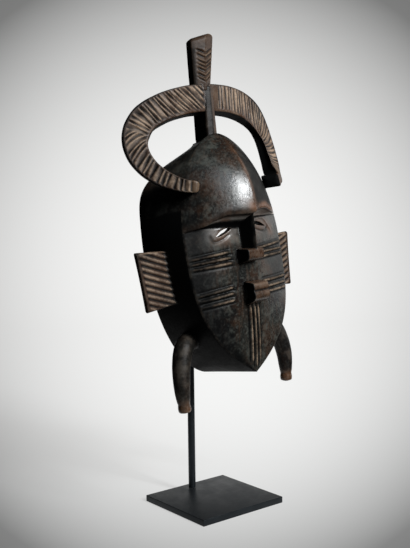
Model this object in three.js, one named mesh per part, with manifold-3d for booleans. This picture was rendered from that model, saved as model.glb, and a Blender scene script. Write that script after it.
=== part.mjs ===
// A ligbi mask of carved wood, held up by a black steel rod on a steel plate.
// Millimetres, +Z up, the mask looks along -Y, and the origin is the centre of the plate's underside.
import * as THREE from "three";
import { mergeVertices } from "three/addons/utils/BufferGeometryUtils.js";
import Module from "manifold-3d";

// Stand
const PLATE = { width: 90, depth: 83, thickness: 5.5 };
const ROD = { radius: 3.25, sides: 16, behindCentre: 31.7, elbowHeight: 262, elbowRadius: 14 };
const ARM = { rise: 32, reach: 62.8 };
const GAP = 0.35;

// How the mask sits on its stand, from the centre of the plate's underside to the point of the rim's plane
// that is level with the chin's tip. All the sizes below are in the mask's own frame, from that point:
// x to its left and right, depth forward of the rim's plane, and height above the chin's tip.
const SEAT = { x: 7.1, y: 15.4, z: 123, turn: 3.4, lean: 4.3 };

// Almond face
const FACE = {
  height: 203.3,
  halfWidth: 55.5,
  widestAt: 112.5,
  topCurve: [1.9, 0.56],
  chinFullness: { left: 3.2, right: 3.5 },
  chinDepth: 62,
  backwardLean: 0.157,
  ridgeShare: 0.35,
  foreheadRise: 32.5,
  foreheadFrom: 142.5,
  foreheadCurve: [2.4, 0.9],
  cheekRise: 13,
  cheekFullAt: 84,
  cheekCurve: 1.55,
  browHeight: 135,
  browDroop: { left: 9, right: 4 },
  browUnderside: 8.8,
};
// Where the hollow of the brow's underside is deepest, as shares of its height and of its depth.
const UNDERSIDE = { down: 0.6, back: 0.7 };
const FACE_MESH = { columns: 16, foreheadRows: 9, foreheadEase: 1.4, cheekRows: 13, cheekEase: 1.25 };
const RIM = {
  top: 196,
  bottom: -8.2,
  widestAt: 135.3,
  halfWidth: 65,
  topCurve: [3.2, 1.6],
  bottomCurve: [2.2, 0.58],
  bulge: 1.6,
  bulgeFrom: 20,
};
const HOLLOW = {
  widthScale: 0.86,
  heightScale: 0.91,
  wall: 10.5,
  foreheadRise: 21,
  cheekRise: 8,
  fadeFrom: 95,
  fadeTo: 140,
  rows: 14,
  columns: 10,
};

// Eyes, nose and mouth
const EYE = {
  inner: [12.2, 123.6],
  outer: [28.5, 117.2],
  upperBend: [21.5, 125.6],
  lowerBend: [19.5, 118.2],
  lift: { left: 0, right: 3 },
  widening: 2.2,
  cutFrom: 36,
  straightFrom: 50,
  cutTo: 90,
};
const NOSE = {
  top: 136,
  foot: 105.5,
  topHalfWidth: 4.5,
  footHalfWidth: 5.5,
  topDepth: 69.5,
  tipDepth: 71.5,
};
// The fronts of the two carved blocks are outlines of depth and height, from the foot up.
const NOSTRILS = {
  halfWidth: 8.5,
  foot: 97.5,
  front: [[69.5, 96.5], [71.5, 98.5], [71.5, 105], [70.5, 106]],
  top: 106,
};
const LIPS = {
  halfWidth: 9,
  foot: 62,
  front: [[71.5, 62], [75, 65], [75.5, 68.8], [72.5, 71.8], [74.5, 72.8], [73.5, 77.6]],
  top: 78.6,
};
// How deep the carved blocks and the nose reach into the face behind them.
const ROOT = 4;

// Raised scars on the cheeks, and the three lines down the chin
const SCAR = { rise: 1.5, halfBreadth: 2.3, buried: 0.8, steps: 5 };
const SCAR_SETS = [
  { side: -1, inner: 15.5, innerHeights: [104.8, 100, 96.4], outerHeights: [101, 97.5, 93.8] },
  { side: 1, inner: 11, innerHeights: [104, 100.6, 96.6], outerHeights: [106.2, 100.2, 96.5] },
  { side: -1, inner: 18, innerHeights: [75.6, 70.6, 65], outerHeights: [71.2, 66.8, 61.8] },
  { side: 1, inner: 12, innerHeights: [76.2, 71, 66.6], outerHeights: [76.1, 70.8, 66.2] },
];
const CHIN_LINES = { spacing: 4.4, top: 59, foot: 3, outerFootRise: 5.3 };

// Stem, crest and horns above the face
const STEM = {
  foot: 192,
  top: 243,
  footHalfWidth: 6,
  topHalfWidth: 4.6,
  footDepth: 28.5,
  topDepth: 26.6,
  ridge: 1.6,
  thickness: 18,
  backNarrower: 1,
};
const CREST = {
  foot: 240,
  top: 288,
  footHalfWidth: 8.7,
  topHalfWidth: 13,
  footShift: -3.5,
  topSlant: 3.5,
  slantFrom: 0.7,
  taper: 0.8,
  depth: 26.2,
  ridge: 4.9,
  thickness: 8,
  backNarrower: 1.5,
  roundedEnd: 4,
  chevrons: 7,
  chevronFrom: 247,
  chevronTo: 274,
  chevronRise: 5.5,
  groove: 1.1,
};
const HORN = {
  path: [
    [0, 25.3, 233.3],
    [25, 24.5, 231.8],
    [48.8, 20.2, 226.1],
    [66.2, 16, 216.8],
    [74.9, 15.4, 203.3],
    [76.2, 19, 190.3],
    [72, 26.8, 177.3],
    [63.8, 37, 167.6],
    [54.9, 48, 161.8],
    [45.2, 55.6, 159.6],
  ],
  width: { middle: 21.5, bend: 22.8, tip: 8.6 },
  thickness: { middle: 11, bend: 7.5, tip: 13 },
  backBroader: { middle: 3.2, bend: 2.2, tip: 0.5 },
  bendAt: 0.5,
  spread: { left: 1, right: 1.005 },
  tipSpread: { left: 1, right: 1.07 },
  shoulderLift: { left: 0, right: 1.5 },
  edgeRound: 1,
  edgeDrop: 0.3,
  frontShare: 0.35,
  sideShare: 0.35,
  knob: 2.4,
  knobFrom: 0.97,
  knobStep: 0.005,
  outwardTurn: 25,
  turnedBy: 0.35,
  ridges: 30,
  ridgesFrom: 0.03,
  ridgesTo: 0.965,
  groove: 1.1,
  skew: { left: 8, right: 1.5 },
  skewShare: 0.4,
  skewFullFrom: 1 / 12,
  skewFadesFrom: 0.2,
  skewFadesTo: 0.55,
};

// Ear plates and legs
const EAR = {
  topHeight: 110.8,
  footHeight: 61.6,
  outerTop: 90.2,
  outerFoot: 86,
  innerTop: 52,
  innerFoot: 45,
  topDepth: 24.2,
  footDepth: 28.8,
  thickness: 5,
  innerTopDrop: 2,
  innerFootLift: 4,
  innerForward: 2,
  ridges: 9,
  slope: 15,
  groove: 1.2,
  spareInside: 2,
  spareOutside: 10,
  cutDepth: 60,
};
const LEG = {
  path: [
    [37, 27, 30],
    [46.4, 28.8, 31],
    [54.3, 32.2, 26.5],
    [59.7, 34.5, 15],
    [62.3, 36.3, 2],
    [62.7, 37, -11],
    [61.9, 37.6, -25],
  ],
  radii: [7, 8, 8.2, 8, 7.6, 7.1, 6.4, 5.6, 5, 5.5, 5.3, 3.6],
  stations: [0, 0.12, 0.24, 0.36, 0.5, 0.64, 0.77, 0.86, 0.895, 0.94, 0.98, 1],
  sides: 10,
};

// How far a cut runs past the face that it opens, and how far joined lengths of the rod run into each other.
const PAST = 1;
const LEFT = -1;
const RIGHT = 1;
const radians = THREE.MathUtils.degToRad;
const clamp = THREE.MathUtils.clamp;
const lerp = THREE.MathUtils.lerp;
const point = (x, depth, height) => new THREE.Vector3(x, -depth, height);

const wasm = await Module();
wasm.setup();

// The closed surface through a row of rings with equally many points. Rings that shrink to a line or a point
// need no cap, and triangles that shrink with them are left out.
function loft(rings, capStart = true, capEnd = true) {
  const count = rings[0].length;
  const keys = new Map();
  const positions = [];
  const triangles = [];
  const vertex = (p) => {
    const key = p.toArray().map((value) => value.toFixed(3)).join();
    if (!keys.has(key)) {
      keys.set(key, positions.length / 3);
      positions.push(p.x, p.y, p.z);
    }
    return keys.get(key);
  };
  const triangle = (a, b, c) => {
    if (a !== b && b !== c && c !== a) triangles.push(a, b, c);
  };
  const ids = rings.map((ring) => ring.map(vertex));
  for (let row = 0; row + 1 < ids.length; row++) {
    for (let i = 0; i < count; i++) {
      const next = (i + 1) % count;
      triangle(ids[row][i], ids[row][next], ids[row + 1][next]);
      triangle(ids[row][i], ids[row + 1][next], ids[row + 1][i]);
    }
  }
  for (let i = 1; i + 1 < count; i++) {
    if (capStart) triangle(ids[0][0], ids[0][i + 1], ids[0][i]);
    if (capEnd) triangle(ids.at(-1)[0], ids.at(-1)[i], ids.at(-1)[i + 1]);
  }
  const geometry = new THREE.BufferGeometry();
  geometry.setAttribute("position", new THREE.Float32BufferAttribute(positions, 3));
  geometry.setIndex(triangles);
  return geometry;
}

// Six times the volume inside a closed geometry, negative when its faces point inwards.
function signedVolume(position, index) {
  const [a, b, c] = [new THREE.Vector3(), new THREE.Vector3(), new THREE.Vector3()];
  let sum = 0;
  for (let i = 0; i < index.count; i += 3) {
    a.fromBufferAttribute(position, index.getX(i));
    b.fromBufferAttribute(position, index.getX(i + 1));
    c.fromBufferAttribute(position, index.getX(i + 2));
    sum += a.dot(b.cross(c));
  }
  return sum;
}

// A geometry as a solid, with its faces turned outwards.
function solid(geometry) {
  const bare = geometry.clone();
  bare.deleteAttribute("normal");
  bare.deleteAttribute("uv");
  const merged = mergeVertices(bare, 1e-4);
  const triVerts = new Uint32Array(merged.index.array);
  if (signedVolume(merged.attributes.position, merged.index) < 0) triVerts.reverse();
  const vertProperties = merged.attributes.position.array;
  return new wasm.Manifold(new wasm.Mesh({ numProp: 3, vertProperties, triVerts }));
}

function geometryOf(manifold) {
  const mesh = manifold.getMesh();
  const positions = new Float32Array(mesh.numVert * 3);
  for (let i = 0; i < mesh.numVert; i++) {
    positions.set(mesh.vertProperties.subarray(i * mesh.numProp, i * mesh.numProp + 3), i * 3);
  }
  const geometry = new THREE.BufferGeometry();
  geometry.setAttribute("position", new THREE.BufferAttribute(positions, 3));
  geometry.setIndex(new THREE.BufferAttribute(mesh.triVerts, 1));
  return geometry;
}

const joined = (solids) => solids.reduce((whole, piece) => whole.add(piece));

// A curve that falls from 1 to 0 as u goes from 0 to 1: the powers say how late and how steeply.
const falling = (u, [late, steep]) => (1 - u ** late) ** steep;

// Face

// Half the almond's width: blunt above its widest line and drawn to a point below it, fuller on the right.
function faceHalfWidth(height, side) {
  const up = clamp((height - FACE.widestAt) / (FACE.height - FACE.widestAt), 0, 1);
  const down = clamp((FACE.widestAt - height) / FACE.widestAt, 0, 1);
  const fullness = side < 0 ? FACE.chinFullness.left : FACE.chinFullness.right;
  return FACE.halfWidth * falling(up, FACE.topCurve) * (1 - down ** fullness);
}

// The almond's edge leans back on a straight line from the chin to the top.
const edgeDepth = (height) => FACE.chinDepth - FACE.backwardLean * height;

// How the face falls from its middle line to its edge: a slight ridge on a parabola.
const domeFall = (s) => 1 - FACE.ridgeShare * Math.abs(s) - (1 - FACE.ridgeShare) * s * s;

// How far the forehead's middle line stands out from the edge, a rounded quarter from the top down.
function foreheadRise(height, full = FACE.foreheadRise) {
  const up = clamp((height - FACE.foreheadFrom) / (FACE.height - FACE.foreheadFrom), 0, 1);
  return full * falling(up, FACE.foreheadCurve);
}

// The same for the cheeks and the chin, from the chin's tip up.
function cheekRise(height, full = FACE.cheekRise) {
  return full * (1 - clamp(1 - height / FACE.cheekFullAt, 0, 1) ** FACE.cheekCurve);
}

const browEdge = (s) => FACE.browHeight - (s < 0 ? FACE.browDroop.left : FACE.browDroop.right) * s ** 4;
const cheekDepth = (s, height) => edgeDepth(height) + cheekRise(height) * domeFall(s);
const foreheadDepth = (s, height) => edgeDepth(height) + foreheadRise(height) * domeFall(s);

// Half the rim's width: a roof with round shoulders above, and a long oval below.
function rimHalfWidth(height) {
  const up = clamp((height - RIM.widestAt) / (RIM.top - RIM.widestAt), 0, 1);
  const down = clamp((RIM.widestAt - height) / (RIM.widestAt - RIM.bottom), 0, 1);
  return RIM.halfWidth * falling(up, RIM.topCurve) * falling(down, RIM.bottomCurve);
}

// One ring of a shell: from the rim on the left, over the side wall and the face, to the rim on the right.
function shellRing(heightAt, depthAt, halfWidthAt, rimAt, columns) {
  const face = [];
  for (let i = 0; i <= columns; i++) {
    const s = (2 * i) / columns - 1;
    const height = heightAt(s);
    face.push(point(s * halfWidthAt(height, s), depthAt(s, height), height));
  }
  const ends = [face[0], face.at(-1)];
  const rims = ends.map((end, side) => rimAt(end.z, side ? RIGHT : LEFT));
  const walls = ends.map((end, side) => {
    const middle = end.clone().lerp(rims[side], 0.5);
    middle.x += RIM.bulge * clamp(rims[side].x / RIM.bulgeFrom, -1, 1);
    return middle;
  });
  return [rims[0], walls[0], ...face, walls[1], rims[1]];
}

function rimPoint(faceHeight, side) {
  const height = RIM.bottom + (faceHeight / FACE.height) * (RIM.top - RIM.bottom);
  return point(side * rimHalfWidth(height), 0, height);
}

// The outer form: forehead rows from the top to the brow's edge, the brow's hollow underside, and the rows
// of the cheeks down to the chin.
function shellForm() {
  const { columns, foreheadRows, foreheadEase, cheekRows, cheekEase } = FACE_MESH;
  const ring = (heightAt, depthAt) => shellRing(heightAt, depthAt, faceHalfWidth, rimPoint, columns);
  const rings = [];
  for (let row = 0; row <= foreheadRows; row++) {
    const down = (row / foreheadRows) ** foreheadEase;
    rings.push(ring((s) => lerp(FACE.height, browEdge(s), down), foreheadDepth));
  }
  const undersideHeight = (s) => browEdge(s) - FACE.browUnderside * UNDERSIDE.down;
  const undersideDepth = (s, height) => {
    return lerp(foreheadDepth(s, height), cheekDepth(s, height), UNDERSIDE.back);
  };
  rings.push(ring(undersideHeight, undersideDepth));
  for (let row = 0; row <= cheekRows; row++) {
    const up = (1 - row / cheekRows) ** cheekEase;
    rings.push(ring((s) => (browEdge(s) - FACE.browUnderside) * up, cheekDepth));
  }
  return loft(rings, false, false);
}

// The hollow behind the face: the same outlines drawn in, with a plain smooth front, open through the rim.
function hollowForm() {
  const middle = FACE.height / 2;
  const grown = (height) => middle + (height - middle) / HOLLOW.heightScale;
  const shrunk = (height) => middle + (height - middle) * HOLLOW.heightScale;
  const halfWidthAt = (height) => faceHalfWidth(grown(height), LEFT) * HOLLOW.widthScale;
  const rimAt = (height, side) => {
    const outer = rimPoint(grown(height), side);
    return point(outer.x * HOLLOW.widthScale, -PAST, shrunk(outer.z) - PAST);
  };
  const rings = [];
  for (let row = 0; row <= HOLLOW.rows; row++) {
    const height = shrunk(FACE.height * (1 - row / HOLLOW.rows));
    rings.push(shellRing(() => height, hollowFront, halfWidthAt, rimAt, HOLLOW.columns));
  }
  return loft(rings, false, false);
}

// The front of the hollow. Its rise behind the forehead fades out below the brow.
function hollowFront(s, height) {
  const fade = THREE.MathUtils.smoothstep(height, HOLLOW.fadeFrom, HOLLOW.fadeTo);
  const behindForehead = foreheadRise(height, HOLLOW.foreheadRise) * fade;
  const rise = Math.max(cheekRise(height, HOLLOW.cheekRise), behindForehead);
  return edgeDepth(height) - HOLLOW.wall + rise * domeFall(s);
}

// The eye: a drooping slit between two arcs, cut right through and widened towards the hollow.
function eyeSlit(side) {
  const lid = new THREE.Shape();
  lid.moveTo(...EYE.inner);
  lid.quadraticCurveTo(...EYE.upperBend, ...EYE.outer);
  lid.quadraticCurveTo(...EYE.lowerBend, ...EYE.inner);
  const outline = lid.getPoints(6).slice(1);
  const middle = new THREE.Vector2(...EYE.inner).lerp(new THREE.Vector2(...EYE.outer), 0.5);
  const lift = side < 0 ? EYE.lift.left : EYE.lift.right;
  const ring = (depth, wider) =>
    outline.map((p) => {
      const at = middle.clone().lerp(p, wider);
      return point(side * at.x, depth, at.y + lift);
    });
  const rings = [ring(EYE.cutFrom, EYE.widening), ring(EYE.straightFrom, 1), ring(EYE.cutTo, 1)];
  return solid(loft(rings));
}

// The nose: a wedge with its edge on the middle line.
function noseWedge() {
  const section = (height, depth, halfWidth) => {
    const back = cheekDepth(0, height) - ROOT;
    return [point(-halfWidth, back, height), point(0, depth, height), point(halfWidth, back, height)];
  };
  const top = section(NOSE.top, NOSE.topDepth, NOSE.topHalfWidth);
  return solid(loft([top, section(NOSE.foot, NOSE.tipDepth, NOSE.footHalfWidth)]));
}

// A block across the middle line, rooted in the face behind it: the nostrils, and the lips.
function crossBlock({ halfWidth, foot, front, top }) {
  const back = cheekDepth(0, foot) - ROOT;
  const outline = [[back, foot], ...front, [back, top]];
  const shape = new THREE.Shape(outline.map(([depth, height]) => new THREE.Vector2(-depth, height)));
  const block = new THREE.ExtrudeGeometry(shape, { depth: 2 * halfWidth, bevelEnabled: false });
  block.rotateX(Math.PI / 2).rotateZ(Math.PI / 2).translate(-halfWidth, 0, 0);
  return solid(block);
}


// A raised line on the cheek between two points of the face, with a three-cornered section.
function raisedLine(start, end) {
  const across = new THREE.Vector2(end.height - start.height, start.x - end.x).normalize();
  const depthAt = (px, ph) => cheekDepth(clamp(px / faceHalfWidth(ph, px), -1, 1), ph);
  const rings = [];
  for (let i = 0; i <= SCAR.steps; i++) {
    const x = lerp(start.x, end.x, i / SCAR.steps);
    const height = lerp(start.height, end.height, i / SCAR.steps);
    const corner = (offset, rise) => {
      const px = x + across.x * offset;
      const ph = height + across.y * offset;
      return point(px, depthAt(px, ph) + rise, ph);
    };
    rings.push([
      corner(-SCAR.halfBreadth, -SCAR.buried),
      corner(0, SCAR.rise),
      corner(SCAR.halfBreadth, -SCAR.buried),
    ]);
  }
  return solid(loft(rings));
}

function scars() {
  return SCAR_SETS.flatMap(({ side, inner, innerHeights, outerHeights }) =>
    innerHeights.map((innerHeight, i) => {
      const outer = faceHalfWidth(outerHeights[i], side) - 1;
      const start = { x: side * inner, height: innerHeight };
      return raisedLine(start, { x: side * outer, height: outerHeights[i] });
    }),
  );
}

function chinLines() {
  return [-1, 0, 1].map((line) => {
    const x = line * CHIN_LINES.spacing;
    const foot = CHIN_LINES.foot + Math.abs(line) * CHIN_LINES.outerFootRise;
    return raisedLine({ x, height: CHIN_LINES.top }, { x, height: foot });
  });
}

// Stem, crest and horns

function stem() {
  const section = (height, front, halfWidth) => {
    const back = front - STEM.ridge - STEM.thickness;
    return [
      point(-halfWidth, front - STEM.ridge, height),
      point(0, front, height),
      point(halfWidth, front - STEM.ridge, height),
      point(halfWidth - STEM.backNarrower, back, height),
      point(STEM.backNarrower - halfWidth, back, height),
    ];
  };
  const foot = section(STEM.foot, STEM.footDepth, STEM.footHalfWidth);
  return solid(loft([foot, section(STEM.top, STEM.topDepth, STEM.topHalfWidth)]));
}

// The crest widens upwards. Its front is a low ridge cut with chevrons that point down: the points of the
// middle line lie lower than those of the edges, and every other ring is a groove.
function crest() {
  const ring = (height, groove, rise, narrowing) => {
    const up = clamp((height - CREST.foot) / (CREST.top - CREST.foot), 0, 1);
    const halfWidth = lerp(CREST.footHalfWidth, CREST.topHalfWidth, up ** CREST.taper) - narrowing;
    const shift = CREST.footShift * (1 - up);
    const slanted = clamp((up - CREST.slantFrom) / (1 - CREST.slantFrom), 0, 1);
    const slant = (CREST.topSlant * slanted) / CREST.topHalfWidth;
    const front = CREST.depth - groove - narrowing / 2;
    const back = CREST.depth - CREST.ridge - CREST.thickness + narrowing / 2;
    const corner = (x, depth, lift) => point(x + shift, depth, height + lift + slant * (x - halfWidth));
    return [
      corner(-halfWidth, front - CREST.ridge, rise),
      corner(-halfWidth / 2, front - CREST.ridge / 2, rise / 2),
      corner(0, front, 0),
      corner(halfWidth / 2, front - CREST.ridge / 2, rise / 2),
      corner(halfWidth, front - CREST.ridge, rise),
      corner(halfWidth - CREST.backNarrower, back, rise),
      corner(CREST.backNarrower - halfWidth, back, rise),
    ];
  };
  const end = CREST.roundedEnd;
  const rings = [ring(CREST.foot, 0, 0, 0), ring(CREST.foot + end, 0, 0, 0)];
  const rows = 2 * CREST.chevrons;
  for (let row = 0; row <= rows; row++) {
    const height = lerp(CREST.chevronFrom, CREST.chevronTo, row / rows);
    rings.push(ring(height, row % 2 ? 0 : CREST.groove, CREST.chevronRise, 0));
  }
  rings.push(ring(CREST.top - end, 0, 0, 0), ring(CREST.top - end / 4, 0, 0, end / 4));
  rings.push(ring(CREST.top, 0, 0, end));
  return solid(loft(rings));
}

// A value that goes from the horn's middle over its bend to its tip.
function alongHorn({ middle, bend, tip }, t) {
  if (t < HORN.bendAt) return lerp(middle, bend, t / HORN.bendAt);
  return lerp(bend, tip, (t - HORN.bendAt) / (1 - HORN.bendAt));
}

// Where on the horn's band a point lies: across from its inner to its outer edge, back from its front face.
function hornPoint(curve, side, t, across, back) {
  const at = curve.getPointAt(clamp(t, 0, 1));
  const along = curve.getTangentAt(clamp(t, 0, 1));
  const turn = radians(HORN.outwardTurn) * Math.min(1, t / HORN.turnedBy);
  const front = point(side * Math.sin(turn), Math.cos(turn), 0);
  front.addScaledVector(along, -front.dot(along)).normalize();
  const outer = new THREE.Vector3().crossVectors(front, along).normalize();
  const fromCentre = point(at.x, -at.y, at.z - FACE.height);
  if (outer.dot(fromCentre) < 0) outer.negate();
  return at.clone().addScaledVector(outer, across).addScaledVector(front, -back);
}

// A horn: a flat band carried along its path from the middle of the top, over the bend, to the tip before the
// forehead. Every other ring of its front face is a groove, slanted near the middle and square to the band
// further on. The back is broader than the front on the inner side.
function horn(side) {
  const hand = side < 0 ? "left" : "right";
  const spread = HORN.spread[hand];
  const tipSpread = HORN.tipSpread[hand];
  const points = HORN.path.map(([x, depth, height], i) => {
    const lift = HORN.shoulderLift[hand] * Math.sin((Math.PI * i) / (HORN.path.length - 1));
    return point(side * x * lerp(spread, tipSpread, i / (HORN.path.length - 1)), depth, height + lift);
  });
  const curve = new THREE.CatmullRomCurve3(points, false, "centripetal");
  const length = curve.getLength();
  const skewed = HORN.skew[hand];
  const fades = [HORN.skewFadesFrom, HORN.skewFadesTo];
  const ring = (t, groove) => {
    const knob = t > HORN.knobFrom ? HORN.knob : 0;
    const width = alongHorn(HORN.width, t) + knob;
    const thickness = alongHorn(HORN.thickness, t) + knob;
    const broader = alongHorn(HORN.backBroader, t);
    const fadeIn = clamp(t / HORN.skewFullFrom, 0, 1);
    const fade = fadeIn * (1 - THREE.MathUtils.mapLinear(clamp(t, ...fades), ...fades, 0, 1));
    const shift = (skewed * fade) / length;
    const middleShift = shift * HORN.skewShare;
    const edge = width / 2;
    const rounded = edge - HORN.edgeRound;
    const dropped = groove + HORN.edgeDrop;
    const middle = edge * HORN.frontShare;
    const sideBack = thickness * HORN.sideShare;
    return [
      hornPoint(curve, side, t - shift, -rounded, dropped),
      hornPoint(curve, side, t - middleShift, -middle, groove),
      hornPoint(curve, side, t + middleShift, middle, groove),
      hornPoint(curve, side, t + shift, rounded, dropped),
      hornPoint(curve, side, t + shift, edge, sideBack),
      hornPoint(curve, side, t, rounded, thickness),
      hornPoint(curve, side, t, -edge - broader, thickness),
      hornPoint(curve, side, t - shift, -edge, sideBack),
    ];
  };
  const rings = [ring(0, 0)];
  const rows = 2 * HORN.ridges;
  for (let row = 1; row < rows; row++) {
    rings.push(ring(lerp(HORN.ridgesFrom, HORN.ridgesTo, row / rows), row % 2 ? HORN.groove : 0));
  }
  rings.push(ring(HORN.knobFrom + HORN.knobStep, 0), ring(1, 0));
  return solid(loft(rings));
}

// An ear: a thin plate that stands out sideways from the wall, with slanting ridges across its front that
// come down towards the face.
function ear(side) {
  const tall = EAR.topHeight - EAR.footHeight;
  const upTheEar = (foot, top, height) => lerp(foot, top, (height - EAR.footHeight) / tall);
  const depthAt = (height) => upTheEar(EAR.footDepth, EAR.topDepth, height);
  const ring = (height, groove) => {
    const outerHeight = height + EAR.slope / 2;
    const innerHeight = height - EAR.slope / 2;
    const outer = side * (upTheEar(EAR.outerFoot, EAR.outerTop, outerHeight) + EAR.spareOutside);
    const inner = side * (upTheEar(EAR.innerFoot, EAR.innerTop, innerHeight) - EAR.spareInside);
    return [
      point(inner, depthAt(innerHeight) + EAR.innerForward - groove, innerHeight),
      point(outer, depthAt(outerHeight) - groove, outerHeight),
      point(outer, depthAt(outerHeight) - EAR.thickness, outerHeight),
      point(inner, depthAt(innerHeight) - EAR.thickness, innerHeight),
    ];
  };
  const rings = [];
  const pitch = tall / EAR.ridges;
  const spare = Math.ceil(EAR.slope / pitch);
  for (let row = -spare; row <= EAR.ridges + spare; row++) {
    rings.push(ring(EAR.footHeight + row * pitch, 0), ring(EAR.footHeight + (row + 0.5) * pitch, EAR.groove));
  }
  const outline = new THREE.Shape([
    new THREE.Vector2(side * EAR.innerTop, EAR.topHeight - EAR.innerTopDrop),
    new THREE.Vector2(side * EAR.outerTop, EAR.topHeight),
    new THREE.Vector2(side * EAR.outerFoot, EAR.footHeight),
    new THREE.Vector2(side * EAR.innerFoot, EAR.footHeight + EAR.innerFootLift),
  ]);
  const prism = new THREE.ExtrudeGeometry(outline, { depth: EAR.cutDepth, bevelEnabled: false });
  return solid(loft(rings)).intersect(solid(prism.rotateX(Math.PI / 2)));
}

// A leg: a round limb that comes out of the lower wall, bends down and ends in a small knob.
function leg(side) {
  const points = LEG.path.map(([x, depth, height]) => point(side * x, depth, height));
  const curve = new THREE.CatmullRomCurve3(points, false, "centripetal");
  const sideways = point(0, 1, 0);
  const rings = LEG.stations.map((t, i) => {
    const centre = curve.getPointAt(t);
    const along = curve.getTangentAt(t);
    const front = sideways.clone().addScaledVector(along, -sideways.dot(along)).normalize();
    const across = new THREE.Vector3().crossVectors(along, front);
    return Array.from({ length: LEG.sides }, (_, k) => {
      const angle = (2 * Math.PI * k) / LEG.sides;
      return centre
        .clone()
        .addScaledVector(front, LEG.radii[i] * Math.cos(angle))
        .addScaledVector(across, LEG.radii[i] * Math.sin(angle));
    });
  });
  return solid(loft(rings));
}

// Pieces

function mask() {
  const hollow = solid(hollowForm());
  const outside = [solid(shellForm()), stem(), ear(LEFT), ear(RIGHT), leg(LEFT), leg(RIGHT)];
  const crown = [crest(), horn(LEFT), horn(RIGHT)];
  const carving = [noseWedge(), crossBlock(NOSTRILS), crossBlock(LIPS), ...scars(), ...chinLines()];
  return joined([...outside, ...crown, ...carving])
    .subtract(hollow)
    .subtract(eyeSlit(LEFT))
    .subtract(eyeSlit(RIGHT));
}

// The rod: upright from the plate to an elbow, then forward and up into the hollow, where its round end bears
// under the forehead.
function standRod() {
  const foot = PLATE.thickness + GAP;
  const rise = radians(ARM.rise);
  const bend = ROD.elbowRadius * Math.tan((Math.PI / 2 - rise) / 2);
  const corner = new THREE.Vector3(0, ROD.behindCentre, ROD.elbowHeight);
  const forward = new THREE.Vector3(0, -Math.cos(rise), Math.sin(rise));
  const uprightTop = corner.z - bend;
  const upright = new THREE.CylinderGeometry(ROD.radius, ROD.radius, uprightTop - foot, ROD.sides);
  upright.rotateX(Math.PI / 2).translate(0, ROD.behindCentre, (foot + uprightTop) / 2);

  const elbowStart = corner.clone().setZ(uprightTop - PAST);
  const elbowEnd = corner.clone().addScaledVector(forward, bend + PAST);
  const elbowCurve = new THREE.QuadraticBezierCurve3(elbowStart, corner, elbowEnd);
  const section = new THREE.Shape().absarc(0, 0, ROD.radius, 0, 2 * Math.PI);
  const elbow = new THREE.ExtrudeGeometry(section, {
    steps: 6,
    extrudePath: elbowCurve,
    curveSegments: ROD.sides,
  });

  const arm = new THREE.CapsuleGeometry(ROD.radius, ARM.reach - bend, 3, ROD.sides);
  const armCentre = corner.clone().addScaledVector(forward, (ARM.reach + bend) / 2);
  arm.rotateX(Math.PI - rise).translate(...armCentre);
  return joined([solid(upright), solid(elbow), solid(arm)]);
}

const WOOD = new THREE.MeshStandardMaterial({ color: 0x2b211b, roughness: 0.45, metalness: 0 });
const STEEL = new THREE.MeshStandardMaterial({ color: 0x14161a, roughness: 0.4, metalness: 0.6 });

const maskMesh = new THREE.Mesh(geometryOf(mask()), WOOD);
maskMesh.name = "mask";
const seat = new THREE.Group();
seat.position.set(SEAT.x, SEAT.y, SEAT.z);
seat.rotation.order = "ZYX";
seat.rotation.set(0, radians(-SEAT.lean), radians(SEAT.turn));
seat.add(maskMesh);
const rodMesh = new THREE.Mesh(geometryOf(standRod()), STEEL);
rodMesh.name = "stand_rod";

const plate = new THREE.BoxGeometry(PLATE.width, PLATE.depth, PLATE.thickness);
const plateMesh = new THREE.Mesh(plate, STEEL);
plateMesh.name = "stand_base";
plateMesh.position.z = PLATE.thickness / 2;

const object = new THREE.Group();
object.add(seat, rodMesh, plateMesh);

export default object;
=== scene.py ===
"""A ligbi mask of dark carved wood on its black steel stand, laid out as an add-on with one operator for each piece.

The mask's shapes are worked out in its own frame, in millimetres: x to its left and right, depth forward of the
rim's plane, and height above the chin's tip. seated() turns them into the object's frame, in metres.
"""

import math

import bpy
import numpy as np
from mathutils import Matrix, Vector


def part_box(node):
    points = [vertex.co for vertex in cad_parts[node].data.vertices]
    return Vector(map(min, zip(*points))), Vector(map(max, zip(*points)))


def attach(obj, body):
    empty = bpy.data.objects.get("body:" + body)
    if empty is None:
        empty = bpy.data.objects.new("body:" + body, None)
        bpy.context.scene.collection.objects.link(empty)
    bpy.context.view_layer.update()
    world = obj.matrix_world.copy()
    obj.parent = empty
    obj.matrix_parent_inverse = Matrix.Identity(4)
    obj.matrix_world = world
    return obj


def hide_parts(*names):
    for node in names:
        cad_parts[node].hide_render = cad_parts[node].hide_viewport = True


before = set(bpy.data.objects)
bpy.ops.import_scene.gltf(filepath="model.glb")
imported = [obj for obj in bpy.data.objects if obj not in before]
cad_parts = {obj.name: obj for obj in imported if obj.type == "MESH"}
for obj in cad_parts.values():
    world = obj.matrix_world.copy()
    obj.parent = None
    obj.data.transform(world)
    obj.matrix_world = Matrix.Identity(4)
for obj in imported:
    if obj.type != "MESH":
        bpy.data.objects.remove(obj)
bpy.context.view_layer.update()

bl_info = {
    "name": "Ligbi mask",
    "version": (1, 0, 0),
    "blender": (4, 5, 0),
    "location": "View3D > Sidebar > Mask",
    "description": "A carved mask on a steel stand, one operator for each piece",
    "category": "Object",
}

LEFT, RIGHT = -1, 1
MM = 0.001

# Where the mask sits on its stand: turned about the upright, leaned to its left, then moved.
SEAT = {"place": (7.1, 15.4, 123.0), "turn": 3.4, "lean": 4.3}

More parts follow.
